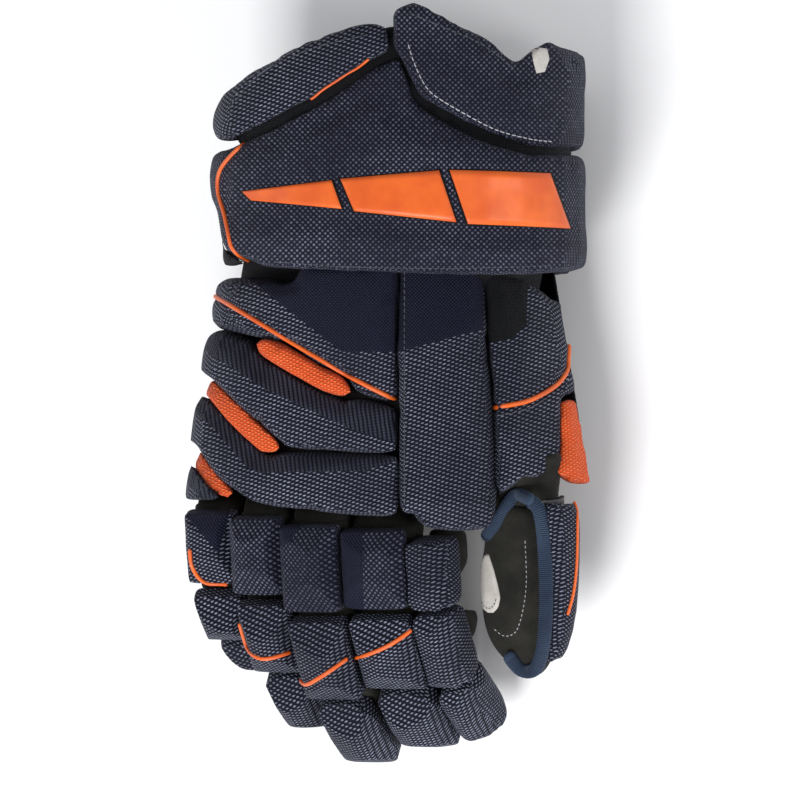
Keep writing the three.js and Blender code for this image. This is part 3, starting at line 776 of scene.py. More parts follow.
def make_pads():
    """Every listed pad as a piece: cloth round the CAD pad, swollen, shaped, wrinkled and mapped."""
    made, meshes = {}, []
    for p in PADS:
        mesh = changed(p["mesh"] or frame["nodes"][p["node"]].data.copy(),
                       ("REMESH", dict(mode="VOXEL", voxel_size=p["voxel"] * MM, adaptivity=0.0)),
                       ("SMOOTH", dict(factor=0.5, iterations=p["smooth"])))
        set_points(mesh, points_of(mesh) - normals_of(mesh) * p["inset"] * MM)
        meshes.append(mesh)
    inflate(meshes, PADS)
    for p, mesh in zip(PADS, meshes):
        mesh = shape_pad(p, changed(mesh, ("SUBSURF", dict(levels=1))))
        wrinkled(mesh, p["wrinkle"])
        node = p["node"]
        body = body_of_node(node)
        cloth_map(mesh, p["axes"] or (finger_axes(body) if is_finger(body) else ROLLED_AXES))
        above_floor(mesh)
        made[node] = link("soft_" + node, mesh, p["material"], body, (node,))
    return made


def list_pads():
    """The pads of the hand, the cuff and the fingers. The thumb's has a mesh of its own."""
    pad("backhand_upper_pad", "navy_weave", COARSE, cap=1.7)
    pad("backhand_roll_upper", "navy_weave", COARSE, cap=2.0)
    pad("backhand_roll_lower", "navy_weave", COARSE, cap=2.0)
    pad("backhand_roll_side", "navy_mesh", COARSE, cap=0.6, inset=0.5, voxel=1.6)
    for part in ("upper", "middle", "lower"):
        pad("backhand_insert_" + part, "orange_mesh", ORANGE, cap=1.4, inset=0.0, smooth=3, voxel=1.5)
    pad("index_metacarpal_pad", "navy_weave", COARSE, cap=1.3)
    pad("thumb_gusset", "navy_mesh", COARSE, cap=1.3)
    pad("thumb_insert", "orange_mesh", ORANGE, cap=1.0, inset=0.1)
    pad("cuff_roll", "navy_weave", WOVEN, cap=1.8, voxel=2.6, wrinkle=0.4)
    pad("cuff_ulnar_flare", "navy_mesh", COARSE, cap=1.6, voxel=2.6, wrinkle=0.4)
    pad("cuff_thumb_wing", "navy_weave", WOVEN, cap=1.6, voxel=2.6, wrinkle=0.5)
    pad("cuff_side_panel", "navy_mesh", DARK_KNIT, cap=1.0, inset=0.2)
    pad("cuff_palm_panel", "navy_weave", DARK_KNIT, cap=0.8, inset=0.2, smooth=6, voxel=2.6, axes=FLAT_AXES)
    for finger in FINGERS:
        for segment in SEGMENTS:
            body = f"{finger}_{segment}"
            plain = segment == "proximal" and finger in ("ring", "middle", "index")
            pad(body + "_pad", "navy_weave", WOVEN if plain else COARSE, cap=1.4)
            if finger == "index":
                pad(body + "_side_pad", "navy_mesh", COARSE, cap=1.4)


# ---------------------------------------------------------------- tubes, sheets and trims
def grid_mesh(rings, close_around=True, close_along=False, close_ends=False):
    """A mesh through rings of the same number of points."""
    n, m = len(rings[0]), len(rings)
    faces = []
    for i in range(m if close_along else m - 1):
        for k in range(n if close_around else n - 1):
            a, b = i * n, ((i + 1) % m) * n
            j = (k + 1) % n
            faces.append((a + k, a + j, b + j, b + k))
    if close_ends:
        faces.append(tuple(range(n))[::-1])
        faces.append(tuple(range(m * n - n, m * n)))
    mesh = bpy.data.meshes.new("grid")
    mesh.from_pydata([Vector(p) for ring in rings for p in ring], [], faces)
    mesh.update()
    return mesh


def outward(mesh):
    """The mesh with its faces turned out, and any end holes closed."""
    b = bmesh.new()
    b.from_mesh(mesh)
    open_edges = [e for e in b.edges if e.is_boundary]
    if open_edges:
        bmesh.ops.holes_fill(b, edges=open_edges, sides=0)
    bmesh.ops.recalc_face_normals(b, faces=b.faces)
    b.to_mesh(mesh)
    b.free()
    return mesh


def tube(rings, axes, levels=1):
    """A smooth closed skin through rings, with its cloth map."""
    mesh = changed(outward(grid_mesh(rings)), ("SUBSURF", dict(levels=levels)))
    cloth_map(mesh, axes)
    return mesh


def thick_sheet(rings, thickness, offset=0, around=False):
    """A smooth sheet of cloth through rings, thick to one side or to both, with its cloth map."""
    mesh = grid_mesh(rings, close_around=around)
    mesh = changed(mesh, ("SOLIDIFY", dict(thickness=thickness * MM, offset=offset)),
                   ("SUBSURF", dict(levels=1)))
    cloth_map(mesh, FLAT_AXES)
    return mesh


def oval(k, count, share):
    """The (x, y) of place k of count on a squarish circle of radius 1. A smaller share is squarer."""
    angle = 2 * math.pi * k / count
    c, s = math.cos(angle), math.sin(angle)
    return math.copysign(abs(c) ** share, c), math.copysign(abs(s) ** share, s)


def section(half_width, low, high, power=4.0, count=32):
    """A rounded rectangle about X = 0, as (x, z) in millimetres."""
    places = [oval(k + 0.5, count, 2 / power) for k in range(count)]
    return [(half_width * c, (low + high) / 2 + (high - low) / 2 * s) for c, s in places]


STALL_LOW, STALL_HIGH, STALL_WALL = -14, 7, 2.6
KNUCKLE_LEAN = (43, 6.5)  # degrees, on the palm side and on the back


def tangent(degrees):
    """The slope of an angle."""
    return math.tan(math.radians(degrees))


def hinge_faces(finger, s):
    """Tangents of the lean of a hinge's faces, on the palm side and on the back."""
    if s == 0:
        return tangent(KNUCKLE_LEAN[0]), -tangent(KNUCKLE_LEAN[1])
    f = FINGER[finger]
    curl = f["pitch"][s] - f["pitch"][s - 1]
    return tangent((curl + f["bend"][s - 1] + 3) / 2), tangent((curl - 6) / 2 - 1)


def lean(faces, z):
    """How far a leaning face is drawn back at a height z from the hinge."""
    palm, back = faces
    return -z * back if z > 0 else -z * palm


def side_leather(body):
    """The leather under the index finger's side pad, its ends cut back where they face a bending joint."""
    half, length = finger_size(body)
    hinge = Vector(JOINTS[body]["pos_m"])
    across, back, up = finger_axes(body)
    near_lean = 0.2 if body == "index_proximal" else 0.72
    rings = []
    for t, k in ((0, 0.6), (0.05, 0.9), (0.15, 1), (0.5, 1), (0.85, 1), (0.95, 0.9), (1, 0.6)):
        ring = []
        for x, z in section(8.2 * k, -6.5 * k, 6.5 * k, power=3, count=24):
            first, last = 3 + near_lean * (13.5 - z), length - 3 - 0.72 * (13.5 - z)
            along = first + (last - first) * t
            ring.append(hinge + (across * (half + 8.6 + x) + up * (z - 13.5) - back * along) * MM)
        rings.append(ring)
    link("side_leather_" + body, tube(rings, (across, back, up)), SUEDE, body)


def finger_stalls(finger):
    """The leather stalls that a finger goes into, one for each segment, and closed at the tip."""
    for s, segment in enumerate(SEGMENTS):
        body = f"{finger}_{segment}"
        half, length = finger_size(body)
        half -= 0.4
        hinge = Vector(JOINTS[body]["pos_m"])
        across, back, up = finger_axes(body)
        near = hinge_faces(finger, s)
        tip = s == 2
        far = None if tip else hinge_faces(finger, s + 1)

        def place(x, z, t):
            first = 0.5 + lean(near, z)
            last = length - 9 if tip else length - 0.5 - lean(far, z)
            return hinge + (across * x + up * z - back * (first + (last - first) * t)) * MM

        def ring(inset, t, shrink=1.0):
            middle = (STALL_LOW + STALL_HIGH) / 2
            outline = section(half - inset, STALL_LOW + inset, STALL_HIGH - inset)
            return [place(x * shrink, middle + (z - middle) * shrink, t) for x, z in outline]

        steps = [0, 0.04, 0.12, 0.25, 0.4, 0.55, 0.7, 0.85, 0.95, 1]
        outer = [ring(0.5 if t in (0, 1) and not (tip and t == 1) else 0.0, t) for t in steps]
        inner = [ring(STALL_WALL, t) for t in steps[::-1]]
        if tip:
            for k, shrink in ((1.08, 0.97), (1.16, 0.88), (1.22, 0.72), (1.255, 0.5), (1.27, 0.2)):
                outer.append(ring(0, k, shrink))
            closing = [ring(STALL_WALL, k, shrink) for k, shrink in ((1.14, 0.2), (1.12, 0.6), (1.06, 0.9))]
            inner = closing + inner
        mesh = grid_mesh(outer + inner, close_along=True)
        mesh = changed(outward(mesh), ("SUBSURF", dict(levels=1)))
        above_floor(mesh)
        cloth_map(mesh, (across, back, up))
        link(f"leather_{body}", mesh, SUEDE, body, (body + "_stall",))


def smoothstep(t):
    """0 to 1 with a soft start and end."""
    t = min(max(t, 0.0), 1.0)
    return t * t * (3 - 2 * t)


def finger_sleeves(finger):
    """The flexing leather between a finger's segments: a tube whose shape turns from the one body's axes to the
    other's.
    """
    half = finger_size(finger + "_tip")[0] - 1.3
    for s in (1, 2):
        before, after = f"{finger}_{SEGMENTS[s - 1]}", f"{finger}_{SEGMENTS[s]}"
        hinge = Vector(JOINTS[after]["pos_m"])
        across, back_a, up_a = finger_axes(before)
        _, back_b, up_b = finger_axes(after)
        faces = hinge_faces(finger, s)
        outline = section(half, STALL_LOW + 0.9, STALL_HIGH - 0.9)
        rings = []
        for i in range(15):
            t = i / 7 - 1
            w = smoothstep(t / 2 + 0.5)
            up = up_a.lerp(up_b, w).normalized()
            ring = []
            for x, z in outline:
                reach = 2.5 + max(lean(faces, z), 0.0)
                pleat = 1 - 0.035 * math.cos(3.5 * math.pi * t) * (z < 0) * (abs(t) < 0.8)
                waist = 1 - 0.02 * (z < 0) * (abs(t) < 0.5)
                along = back_a * (-t) if t < 0 else back_b * (-t)
                ring.append(hinge + (across * x * waist + up * z * pleat + along * reach) * MM)
            rings.append(ring)
        mesh = tube(rings, (across, (back_a + back_b).normalized(), (up_a + up_b).normalized()))
        made = link(f"sleeve_{finger}_{s}", mesh, SUEDE)
        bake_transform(made)

    # from the hand to the first segment
    first = f"{finger}_proximal"
    hinge = Vector(JOINTS[first]["pos_m"])
    across, back, up = finger_axes(first)
    low, high = FINGER[finger]["hand"]
    faces = hinge_faces(finger, 0)
    hand_y = -34 + SHIFT.y
    hand_outline = section(half + 0.6, low, high)
    finger_outline = section(half, STALL_LOW + 0.9, STALL_HIGH - 0.9)
    rings = []
    for i in range(13):
        t = i / 12
        w = smoothstep(t)
        ring = []
        for (hx, hz), (x, z) in zip(hand_outline, finger_outline):
            start = Vector((hinge.x / MM + hx, hand_y, hz + SHIFT.z))
            end = hinge / MM + across * x + up * z - back * (2.5 + max(lean(faces, z), 0.0))
            point = start.lerp(end, t)
            point.z = start.z + (end.z - start.z) * w
            ring.append(point * MM)
        rings.append(ring)
    mesh = tube(rings, FLAT_AXES)
    made = link(f"sleeve_{finger}_0", mesh, SUEDE)
    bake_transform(made)


def tree_of(*objects):
    """The surfaces of pieces, to lay trims on."""
    vertices, faces, base = [], [], 0
    for o in objects:
        vertices += [v.co.copy() for v in o.data.vertices]
        faces += [tuple(base + i for i in f.vertices) for f in o.data.polygons]
        base += len(o.data.vertices)
    return BVHTree.FromPolygons(vertices, faces)


def drape(tree, u, v):
    """Where the square-on line through (u, v) meets the surface, and its normal; else the nearest point."""
    hit, normal, _, _ = tree.ray_cast(rolled(u, v, 200), -SQUARE_ON)
    if hit is not None:
        return hit, normal
    near = [tree.find_nearest(rolled(u, v, k)) for k in range(-90, 90, 3)]
    found, normal, _, _ = min(near, key=lambda entry: entry[3])
    return found, normal


def draped_line(tree, line, lift):
    """A smooth line of the rolled plane laid on a surface, and the surface's normals along it."""
    points, normals = [], []
    for p in smooth_line([Vector((u, v, 0)) for u, v in line], 1.5):
        at, normal = drape(tree, p.x, p.y)
        points.append(at + normal * lift * MM)
        normals.append(normal)
    return relaxed(points, 3), normals


def trim(name, tree, line, body, radius=1.1, lift=0.35, replaces=()):
    """An orange cord-like edge laid on a surface."""
    points, _ = draped_line(tree, line, lift)
    return link(name, sweep(points, radius * MM, sides=10), TRIM, body, replaces)


def stitches(name, tree, line, body, material, length=1.6, gap=1.2, radius=0.26, lift=0.1):
    """A row of short threads laid on a surface, millimetres."""
    points, normals = draped_line(tree, line, lift)
    meshes = []
    start = 0.3
    while start + length < line_length(points) / MM:
        a, i = along_line(points, start * MM)
        b, _ = along_line(points, (start + length) * MM)
        up = normals[i] * MM
        meshes.append(sweep([a - up * 0.1, (a + b) / 2 + up * 0.15, b - up * 0.1], radius * MM, sides=6))
        start += length + gap
    return link(name, joined(meshes), material, body)


def draped_patch(name, tree, left, right, body, material, lift, replaces=()):
    """A thin piece on a surface between two lines of the rolled plane, thinner at its edges."""
    left, right = ([Vector((*p, 0)) for p in side] for side in (left, right))
    rows = max(4, round(line_length(left) / 1.2))
    columns = 8
    top, under = [], []
    for i in range(rows):
        share = i / (rows - 1)
        a, b = (along_line(side, line_length(side) * share)[0] for side in (left, right))
        for k in range(columns + 1):
            p = a.lerp(b, k / columns)
            at, normal = drape(tree, p.x, p.y)
            rim = i in (0, rows - 1) or k in (0, columns)
            top.append(at + normal * (lift * (0.45 if rim else 1)) * MM)
            under.append(at - normal * 0.4 * MM)
    n = columns + 1
    vertices = top + under
    base = rows * n
    faces = []
    for i in range(rows - 1):
        for k in range(columns):
            q = (i * n + k, i * n + k + 1, (i + 1) * n + k + 1, (i + 1) * n + k)
            faces += [q, tuple(base + j for j in q[::-1])]
    edge = [k for k in range(n)] + [i * n + n - 1 for i in range(1, rows)]
    edge += [(rows - 1) * n + k for k in range(n - 2, -1, -1)] + [i * n for i in range(rows - 2, 0, -1)]
    faces += [(q, p, base + p, base + q) for p, q in zip(edge, edge[1:] + edge[:1])]
    mesh = bpy.data.meshes.new(name)
    mesh.from_pydata(vertices, [], faces)
    mesh = outward(mesh)
    cloth_map(mesh, ROLLED_AXES)
    return link(name, mesh, material, body, replaces)


def repaint(piece, region, material):
    """The part of a piece inside an outline of the rolled plane takes another cloth, cut along the outline."""
    mesh = piece.data
    mesh.materials.append(material)
    b = bmesh.new()
    b.from_mesh(mesh)
    edges = list(zip(region, region[1:] + region[:1]))
    for (x0, y0), (x1, y1) in edges:
        along = (ACROSS * (x1 - x0) + Vector((0, y1 - y0, 0))).normalized()
        bmesh.ops.bisect_plane(b, geom=[*b.verts, *b.edges, *b.faces], dist=1e-6, plane_co=rolled(x0, y0),
                               plane_no=along.cross(SQUARE_ON))
    flat = on_plane(np.array([f.calc_center_median() for f in b.faces]))
    inside = np.zeros(len(flat), bool)
    for (x0, y0), (x1, y1) in edges:
        if y0 != y1:
            crosses = (flat[:, 1] < y0) != (flat[:, 1] < y1)
            inside ^= crosses & (flat[:, 0] < (x1 - x0) * (flat[:, 1] - y0) / (y1 - y0) + x0)
    for face, take in zip(b.faces, inside):
        if take:
            face.material_index = len(mesh.materials) - 1
    b.to_mesh(mesh)
    b.free()


def smoothed(node, name, body, material, voxel, rounds):
    """A CAD sheet made again with soft edges."""
    mesh = changed(frame["nodes"][node].data.copy(),
                   ("REMESH", dict(mode="VOXEL", voxel_size=voxel * MM, adaptivity=0.0)),
                   ("SMOOTH", dict(factor=0.5, iterations=rounds)))
    cloth_map(mesh, FLAT_AXES)
    return link(name, mesh, material, body, (node,))


# ---------------------------------------------------------------- thumb
THUMB_TURN = Matrix.Rotation(math.radians(7), 3, "X") @ Matrix.Rotation(math.radians(-3), 3, "Z")
THUMB_AXES = tuple(THUMB_TURN @ Vector(a) for a in ((1, 0, 0), (0, 1, 0), (0, 0, 1)))
THUMB_CORE = 8

# the rib tape that binds the thumb's seam, in the thumb's axes, from the web round to the tip
THUMB_LOOP = [(5.5, -1.0, 13.4), (8.8, -3.4, 13.6), (10.9, -12.8, 13.6), (12.3, -33.9, 13.4),
              (11.9, -51.5, 12.6), (9.4, -66.9, 10.4), (4.3, -76.5, 7), (-2.6, -77.4, 6), (-7, -72, 8)]


def thumb_point(x, y, z):
    """A point in the thumb's axes, millimetres, in the frame's metres."""
    return Vector(JOINTS["thumb"]["pos_m"]) + THUMB_TURN @ Vector((x, y, THUMB_CORE + z)) * MM


def thumb_back_mesh():
    """The foam shell on the thumb's outer side, part of a tube that narrows to the tip."""
    rings = []
    for y, k, start in ((-0.8, 1, 48), (-10, 1, 48), (-25, 1, 47), (-38, 0.985, 46), (-50, 0.94, 44),
                        (-60, 0.86, 42), (-68, 0.74, 40), (-74, 0.57, 38)):
        outer, inner = [], []
        for i in range(15):
            angle = math.radians(start + (-88 - start) * i / 14)
            bevel = 0 if math.sin(angle) > -0.4 else 22 * (-0.4 - math.sin(angle)) * (y > -5)
            for ring, radius in ((outer, 20 * k), (inner, 20 * k - 5.6)):
                ring.append(thumb_point(radius * math.cos(angle), y - bevel, radius * math.sin(angle)))
        rings.append(outer + inner[::-1])
    return outward(grid_mesh(rings))


# the thumb's leather: (y, left, right, height above the core, depth below it), millimetres
THUMB_SECTIONS = [(-2, -18.4, 13.4, 10.5, 10), (-12, -20.4, 13.8, 10.5, 12), (-24, -22.4, 14, 10.3, 12.5),
                  (-36, -23.6, 14, 10.0, 12.5), (-50, -23.6, 13.6, 9.8, 12), (-60, -22, 12.4, 9.2, 11),
                  (-68, -18.5, 10.5, 7.2, 9.6), (-74, -12.5, 8.5, 6, 7.6), (-78.5, -6.5, 5.5, 4, 5),
                  (-80.5, -2.5, 2.5, 1.5, 2)]


def thumb_suede_mesh():
    """The leather that the thumb goes into."""
    rings = []
    for y, left, right, high, low in THUMB_SECTIONS:
        ring = []
        for c, s in (oval(k, 30, 0.85) for k in range(30)):
            z = (high if s > 0 else low) * s
            bevel = 0.5 * min(0, z + 6) if y > -5 else 0
            ring.append(thumb_point((left + right) / 2 + (right - left) / 2 * c, y + bevel, z))
        rings.append(ring)
    return tube(rings, THUMB_AXES, levels=2)


def thumb():
    """The thumb's leather, bindings, patch and stitches, and the bound web between thumb and index finger."""
    palm = link("thumb_suede", thumb_suede_mesh(), SUEDE, "thumb", ("thumb_stall",))
    points = relaxed(smooth_line([thumb_point(*p) for p in THUMB_LOOP], 1.5 * MM), 3)
    mesh = sweep(points, 3.1 * MM, sides=14, flat=0.5, up=[SQUARE_ON] * len(points))
    link("thumb_rib_binding", mesh, TAPE, "thumb", ("thumb_binding",))
    outer_edge = [(82.0, -47), (82.1, -60), (81.8, -75), (80.4, -88), (78, -97)]
    trim("piping_thumb", tree_of(soft["thumb_shell"]), outer_edge, "thumb", radius=0.7)
    left = [(42.6, -70.8), (40.2, -76), (39.6, -82), (39.8, -89), (41.2, -95), (43.4, -96.8)]
    right = [(43.6, -71.2), (45.8, -78), (47.6, -85), (48.6, -90), (47.8, -94.4), (45.6, -96.8)]
    leather_tree = tree_of(palm)
    draped_patch("thumb_pale_patch", leather_tree, left, right, "thumb", PALE, lift=0.9)
    patch_end = [(41.2, -92), (42.6, -94.8), (45, -95.2), (46.8, -93.2), (47.4, -90)]
    stitches("stitches_patch", leather_tree, patch_end, "thumb", DARK_THREAD,
             length=0.9, gap=1.0, radius=0.22, lift=1.0)
    seam = [(46, -104), (50, -107.4), (55, -106), (58, -98), (60, -84), (59.4, -64)]
    stitches("stitches_thumb", leather_tree, seam, "thumb", THREAD,
             length=0.9, gap=1.3, radius=0.2)

    # the leather that bends between hand and thumb
    rings = []
    for i in range(13):
        y = 20 - 36 * i / 12
        grow = 1 + 0.1 * smoothstep((y + 4) / 20)
        places = [oval(k, 28, 0.85) for k in range(28)]
        rings.append([thumb_point(-4 + 15.5 * grow * c, y, -0.8 + 8.6 * grow * s) for c, s in places])
    made = link("sleeve_thumb", tube(rings, THUMB_AXES), SUEDE)
    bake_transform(made)

    # the bound edge of the web between thumb and index finger
    web = tree_of(made, soft["thumb_gusset"], palm, soft["index_metacarpal_pad"])
    line = [(43.4, -63), (47, -58), (50.2, -51.6), (53, -47), (56, -44.4)]
    points = relaxed(draped_line(web, line, 0.8)[0], 10)
    web_end = thumb_point(*THUMB_LOOP[0]) + Vector((-1.0, 1.2, 0.4)) * MM
    points = smooth_line([*points[::4], web_end], 1.5 * MM)
    mesh = sweep(points, 2.9 * MM, sides=12, flat=0.55, up=[SQUARE_ON] * len(points))
    link("web_rib_binding", mesh, TAPE, "hand", ("web_binding",))


# ---------------------------------------------------------------- cuff and wrist
CUFF = dict(x=-4.6, z=50.48, half_width=84, half_depth=58, power=2.3)


def cuff_point(k, count, inset, y):
    """A place on the cuff's oval, inset."""
    c, s = oval(k, count, 2 / CUFF["power"])
    x = CUFF["x"] + (CUFF["half_width"] - inset) * c
    z = CUFF["z"] + (CUFF["half_depth"] - inset) * s
    return (Vector((x, y, z)) + SHIFT) * MM


def cuff_under(u, v, inset):
    """The point of the cuff's oval, inset, on the square-on line through (u, v)."""
    best = None
    for k in range(160, -10, -1):
        p = rolled(u, v, k) / MM - SHIFT
        size = (abs((p.x - CUFF["x"]) / (CUFF["half_width"] - inset)) ** CUFF["power"]
                + abs((p.z - CUFF["z"]) / (CUFF["half_depth"] - inset)) ** CUFF["power"])
        if size <= 1:
            return rolled(u, v, k)
        if best is None or size < best[0]:
            best = (size, rolled(u, v, k))
    return best[1]


def seam_shade_strip(name, line):
    """A near-black strip under the seam between two cuff pads: painted shade that shows in the seam's gap."""
    width, inset = 15, 5.5
    flat = smooth_line([Vector((u, v, 0)) for u, v in line], 4)
    rings = []
    for i, p in enumerate(flat):
        a, b = flat[max(i - 1, 0)], flat[min(i + 1, len(flat) - 1)]
        side = Vector((b.y - a.y, a.x - b.x, 0)).normalized() * width / 2
        ring = []
        for lift, spread in ((0, -1), (1.2, -0.5), (1.4, 0), (1.2, 0.5), (0, 1), (-2, 1), (-2, -1)):
            q = p + side * spread
            ring.append(cuff_under(q.x, q.y, inset - lift))
        rings.append(ring)
    return link(name, tube(rings, ROLLED_AXES), DARK_KNIT, "cuff")


def cuff_and_wrist():
    """The near-black strips of painted shade under the cuff's seams, its liner, the loose fabric of the wrist and
    the turned-out lining.
    """
    flare_line = [(-67, 111), (-65, 112), (-63, 113), (-34, 127), (-8, 144), (2, 148.5)]
    wing_line = [(-1, 160), (1.4, 150), (5, 145), (12.5, 128), (31, 116), (46, 109.5),
                 (61, 105.3), (80, 105.5)]
    # Painted shade: near-black strips fill the seam gaps, where the wing and flare overlap the roll in shadow.
    flare_seam_shade = seam_shade_strip("seam_shade_flare", flare_line)
    seam_shade_strip("seam_shade_wing", wing_line)
    smoothed("cuff_liner", "cuff_lining", "cuff", LINING, 1.8, rounds=6)
    rings = []
    for i in range(15):
        t = i / 14
        y = 38 + 36 * t
        ring = []
        for k in range(40):
            c, s = oval(k, 40, 0.75)
            hand = (Vector((-20 + (62 if c < 0 else 74) * c, y, 41 + 30 * s)) + SHIFT) * MM
            fold = 1.2 * math.sin(9 * 2 * math.pi * k / 40) * math.sin(math.pi * t)
            ring.append(hand.lerp(cuff_point(k, 40, 16.2, y), smoothstep(t)) + Vector((0, 0, fold * MM)))
        rings.append(ring)
    made = link("wrist_sleeve", thick_sheet(rings, 1.6, -1, around=True), DARK_KNIT)
    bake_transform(made)
    inner_edge = [(61.6, 151), (62.6, 145), (64, 139.6)]
    outer_edge = [(68.6, 150.6), (69.6, 146), (67.6, 140.4)]
    wing = tree_of(soft["cuff_thumb_wing"])
    draped_patch("lining_fold", wing, inner_edge, outer_edge, "cuff", PALE, lift=0.7)
    return flare_seam_shade


def side_wall(name, top, bottom, bulge):
    """The fabric between the backhand's foot and the palm leather, between lines of (y, x, z), millimetres."""
    def at(line, y):
        for (y0, x0, z0), (y1, x1, z1) in zip(line, line[1:]):
            if y1 <= y <= y0:
                t = (y0 - y) / (y0 - y1)
                return Vector((x0 + (x1 - x0) * t, y, z0 + (z1 - z0) * t))
        return Vector((line[-1][1], y, line[-1][2]))

    rings = []
    first, last = top[0][0], top[-1][0]
    for i in range(25):
        y = first + (last - first) * i / 24
        a, b = at(top, y), at(bottom, y)
        out = Vector((math.copysign(1, a.x), 0, -0.8)).normalized()
        ring = []
        for k in range(9):
            t = k / 8
            pleat = 0.5 * math.sin(y * 0.55 + 2 * t) * math.sin(math.pi * t)
            ring.append((a.lerp(b, t) + out * (bulge * math.sin(math.pi * t) + pleat) + SHIFT) * MM)
        rings.append(ring)
    link(name, thick_sheet(rings, 1.5), DARK_KNIT, "hand")


def palm_lip(sheet):
    """The palm leather turns up in front of the knuckles, towards the finger stalls."""
    rings = []
    for i in range(33):
        x = -83 + 124 * i / 32
        top = sheet.ray_cast((Vector((x, -39, 200)) + SHIFT) * MM, Vector((0, 0, -1)))[0]
        if top is None:
            continue
        z = top.z / MM - SHIFT.z
        rings.append([(Vector((x, y, z + rise)) + SHIFT) * MM
                      for y, rise in ((-36, -1.0), (-41.5, -0.6), (-44.6, 1.4), (-46, 5), (-46.2, 9))])
    link("palm_front_turn", thick_sheet(rings, 1.4), SUEDE, "hand")


def palm():
    """The palm's leather and patch, the walls above it and the backhand's lining."""
    side_wall("wall_little_side", [(54, -90, 22.5), (0, -102, 20.5), (-45.5, -109.5, 19.5)],
              [(54, -60, 9), (5, -74, 13), (-41, -79, 27), (-45.5, -80, 28)], 3.5)
    side_wall("wall_thumb_side", [(54, 58, 23), (20, 64, 22), (-4, 68, 20.5), (-30, 72, 19)],
              [(54, 38, 9), (5, 42, 14), (-30, 40, 26)], 3.0)
    sheet = smoothed("palm_leather", "palm_sheet", "hand", SUEDE, 1.3, rounds=5)
    palm_lip(tree_of(sheet))
    smoothed("palm_patch", "palm_overlay", "hand", PALE, 0.9, rounds=6)
    smoothed("backhand_base", "backhand_lining", "hand", LINING, 1.8, rounds=4)


studio()
list_pads()
pad("thumb_shell", "navy_mesh", COARSE, cap=1.2, inset=0.1, axes=THUMB_AXES, mesh=thumb_back_mesh())
soft = make_pads()
for finger in FINGERS:
    finger_stalls(finger)
    finger_sleeves(finger)
thumb()
flare_seam_shade = cuff_and_wrist()
palm()
for segment in ("proximal", "middle"):
    side_leather("index_" + segment)

# the second cloth of a pad, inside an outline of the rolled plane
SECOND_CLOTHS = [
    ("backhand_upper_pad", SMOOTH, [(-70, 56), (-21, 18), (10, 18), (10, 70), (-70, 70)]),
    # The rolls' bevels take the ribbed cloth: its ribs are real, its darkness is painted shade.
    ("backhand_roll_upper", SHADED_RIB, [(-100, 22), *UPPER_CREASE, (10, -24), (10, 50), (-100, 50)]),
    ("backhand_roll_lower", SHADED_RIB, [(-110, -4), *LOWER_CREASE, (10, -28), (10, 20), (-110, 20)]),
    ("backhand_roll_side", SHADED_RIB, [(-110, -20), (-94, -36), (-82, -49), (-60, -49), (-60, 0)]),
    ("index_metacarpal_pad", SMOOTH, [(0, 17), (41, 28), (41, 70), (0, 70)]),
    ("thumb_gusset", DARK_KNIT, [(40, 60), (61, 60), (60, 30), (54, 24), (40, 21)]),
    ("index_proximal_pad", SMOOTH, [(-30, -50), (2, -50), (0, -59), (-12, -61), (-11.5, -100), (-30, -100)]),
    ("middle_proximal_pad", SMOOTH, [(-60, -50), (-34, -50), (-44, -66), (-60, -72)]),
    ("little_proximal_pad", SMOOTH, [(-100, -50), (-70, -50), (-76, -71), (-89, -56)]),
]
for node, cloth, outline in SECOND_CLOTHS:
    repaint(soft[node], outline, cloth)

# ---------------------------------------------------------------- trims
BACKHAND_PIPING = [(-77.4, 42.8), (-72, 39.8), *BACKHAND_SEAM]
CUFF_PIPING = [(-61.4, 111.4), (-67.6, 106.4), (-73, 100.8), (-75.4, 96.2), (-75.6, 88.6), (-73, 79.8),
               (-70.8, 69.8), (-69.6, 64.4), (-65.8, 60.6), (-57.6, 56.8), (-51, 54.6)]
FLARE_ACCENT = [(-34.6, 129.4), (-22, 137.2), (-9.6, 146)]
FINGER_PIPING = {
    "little_proximal": [(-88.4, -70), (-87.8, -76.4), (-85, -81.6), (-81.4, -84.6), (-77, -85.6),
                        (-72.8, -85.6)],
    "ring_middle": [(-70, -103.6), (-68.8, -107), (-60, -116.4), (-53.7, -117.4), (-45, -114.8)],
    "middle_middle": [(-39.8, -127.6), (-37.6, -129.4), (-29.5, -124.5), (-19.6, -117.4)],
    "index_middle": [(-15.8, -117), (-6.6, -114), (2.2, -109.6), (8.6, -104.6)],
}
trim("piping_backhand", tree_of(soft["backhand_upper_pad"]), BACKHAND_PIPING, "hand",
     replaces=("backhand_piping",))
trim("piping_gusset", tree_of(soft["thumb_gusset"]), GUSSET_SEAM, "hand", replaces=("gusset_piping",))
trim("piping_cuff", tree_of(soft["cuff_roll"]), CUFF_PIPING, "cuff", radius=1.0)
trim("accent_flare", tree_of(soft["cuff_ulnar_flare"], flare_seam_shade), FLARE_ACCENT, "cuff", radius=0.6, lift=0.6)
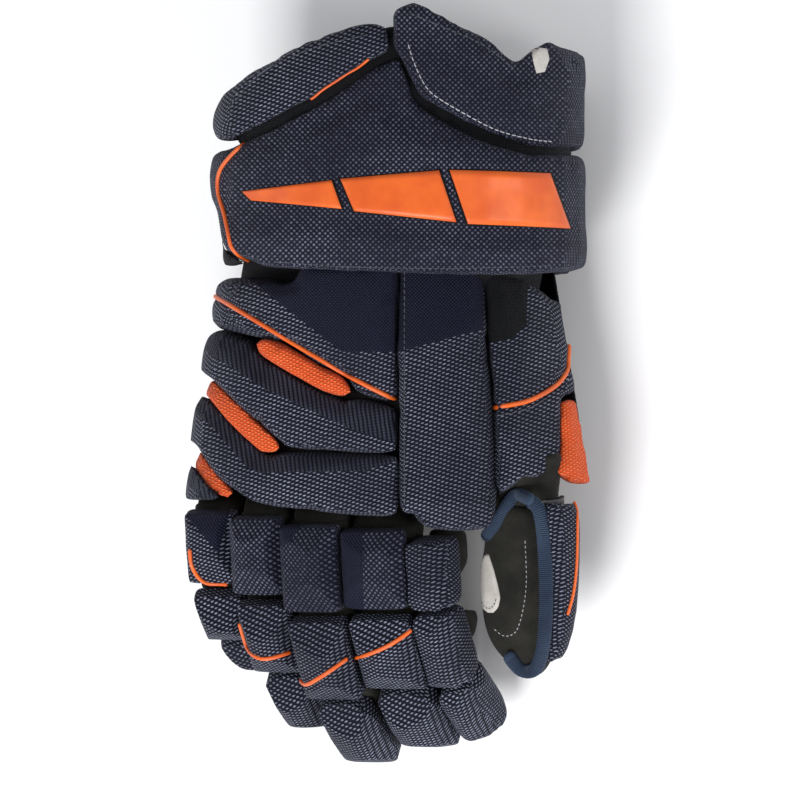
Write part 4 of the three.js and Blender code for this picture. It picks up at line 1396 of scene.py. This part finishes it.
for body, line in FINGER_PIPING.items():
    trim("piping_" + body, tree_of(soft[body + "_pad"]), line, body, radius=0.95)

# rows of stitches beside the seams: the pad that each is on, its thread and its line
STITCH_ROWS = {
    "wing": ("cuff_thumb_wing", THREAD, [(8, 152), (10.8, 143.4), (16, 133), (22, 128), (34, 121), (47, 114.6),
                                         (62, 110.8), (71, 110)]),
    "wing_rim": ("cuff_thumb_wing", DARK_THREAD, [(9, 165.4), (22, 160), (40, 152), (54, 141.6)]),
    "flare": ("cuff_ulnar_flare", DARK_THREAD, [(-72, 124), (-58, 139), (-40, 148.6), (-24, 153.4),
                                            (-8, 156.6)]),
    "roll": ("cuff_roll", DARK_THREAD, [(-50, 57.6), (-20, 55.4), (20, 54.4), (50, 55), (72, 56)]),
    "metacarpal": ("index_metacarpal_pad", DARK_THREAD, [(6.5, 54), (6.5, 0), (6.5, -50)]),
    "gusset": ("thumb_gusset", DARK_THREAD, [(48, -10), (60.4, -7), (70, -1.6)]),
}
for name, (node, thread, line) in STITCH_ROWS.items():
    stitches("stitches_" + name, tree_of(soft[node]), line, body_of_node(node), thread)

# three slanted bars that widen to the thumb side, each on a dark edge
BARS = [((-65, 88.6), (-25.5, 93), (-21, 80.4), (-61, 84.6)),
        ((-21.6, 93.6), (21.4, 97), (29, 74.4), (-15.6, 79.4)),
        ((26, 97.2), (70, 96), (79, 72), (34, 73.6))]
cuff_top = tree_of(soft["cuff_roll"], soft["cuff_thumb_wing"])
for i, corners in enumerate(BARS):
    a, b, c, d = (Vector(p) for p in corners)
    centre = (a + b + c + d) / 4
    wide = [p + (p - centre).normalized() * 1.1 for p in (a, b, c, d)]
    draped_patch(f"bar_edge_{i}", cuff_top, wide[:2], wide[:1:-1], "cuff", DARK_KNIT, lift=0.25)
    draped_patch(f"bar_{i}", cuff_top, [a, b], [d, c], "cuff", TRIM, lift=0.55,
                 replaces=("cuff_accent_stripe",))

for node in ("backhand_shield", "thumb_splint"):
    mesh = frame["nodes"][node].data
    mesh.materials.clear()
    mesh.materials.append(SHEET)
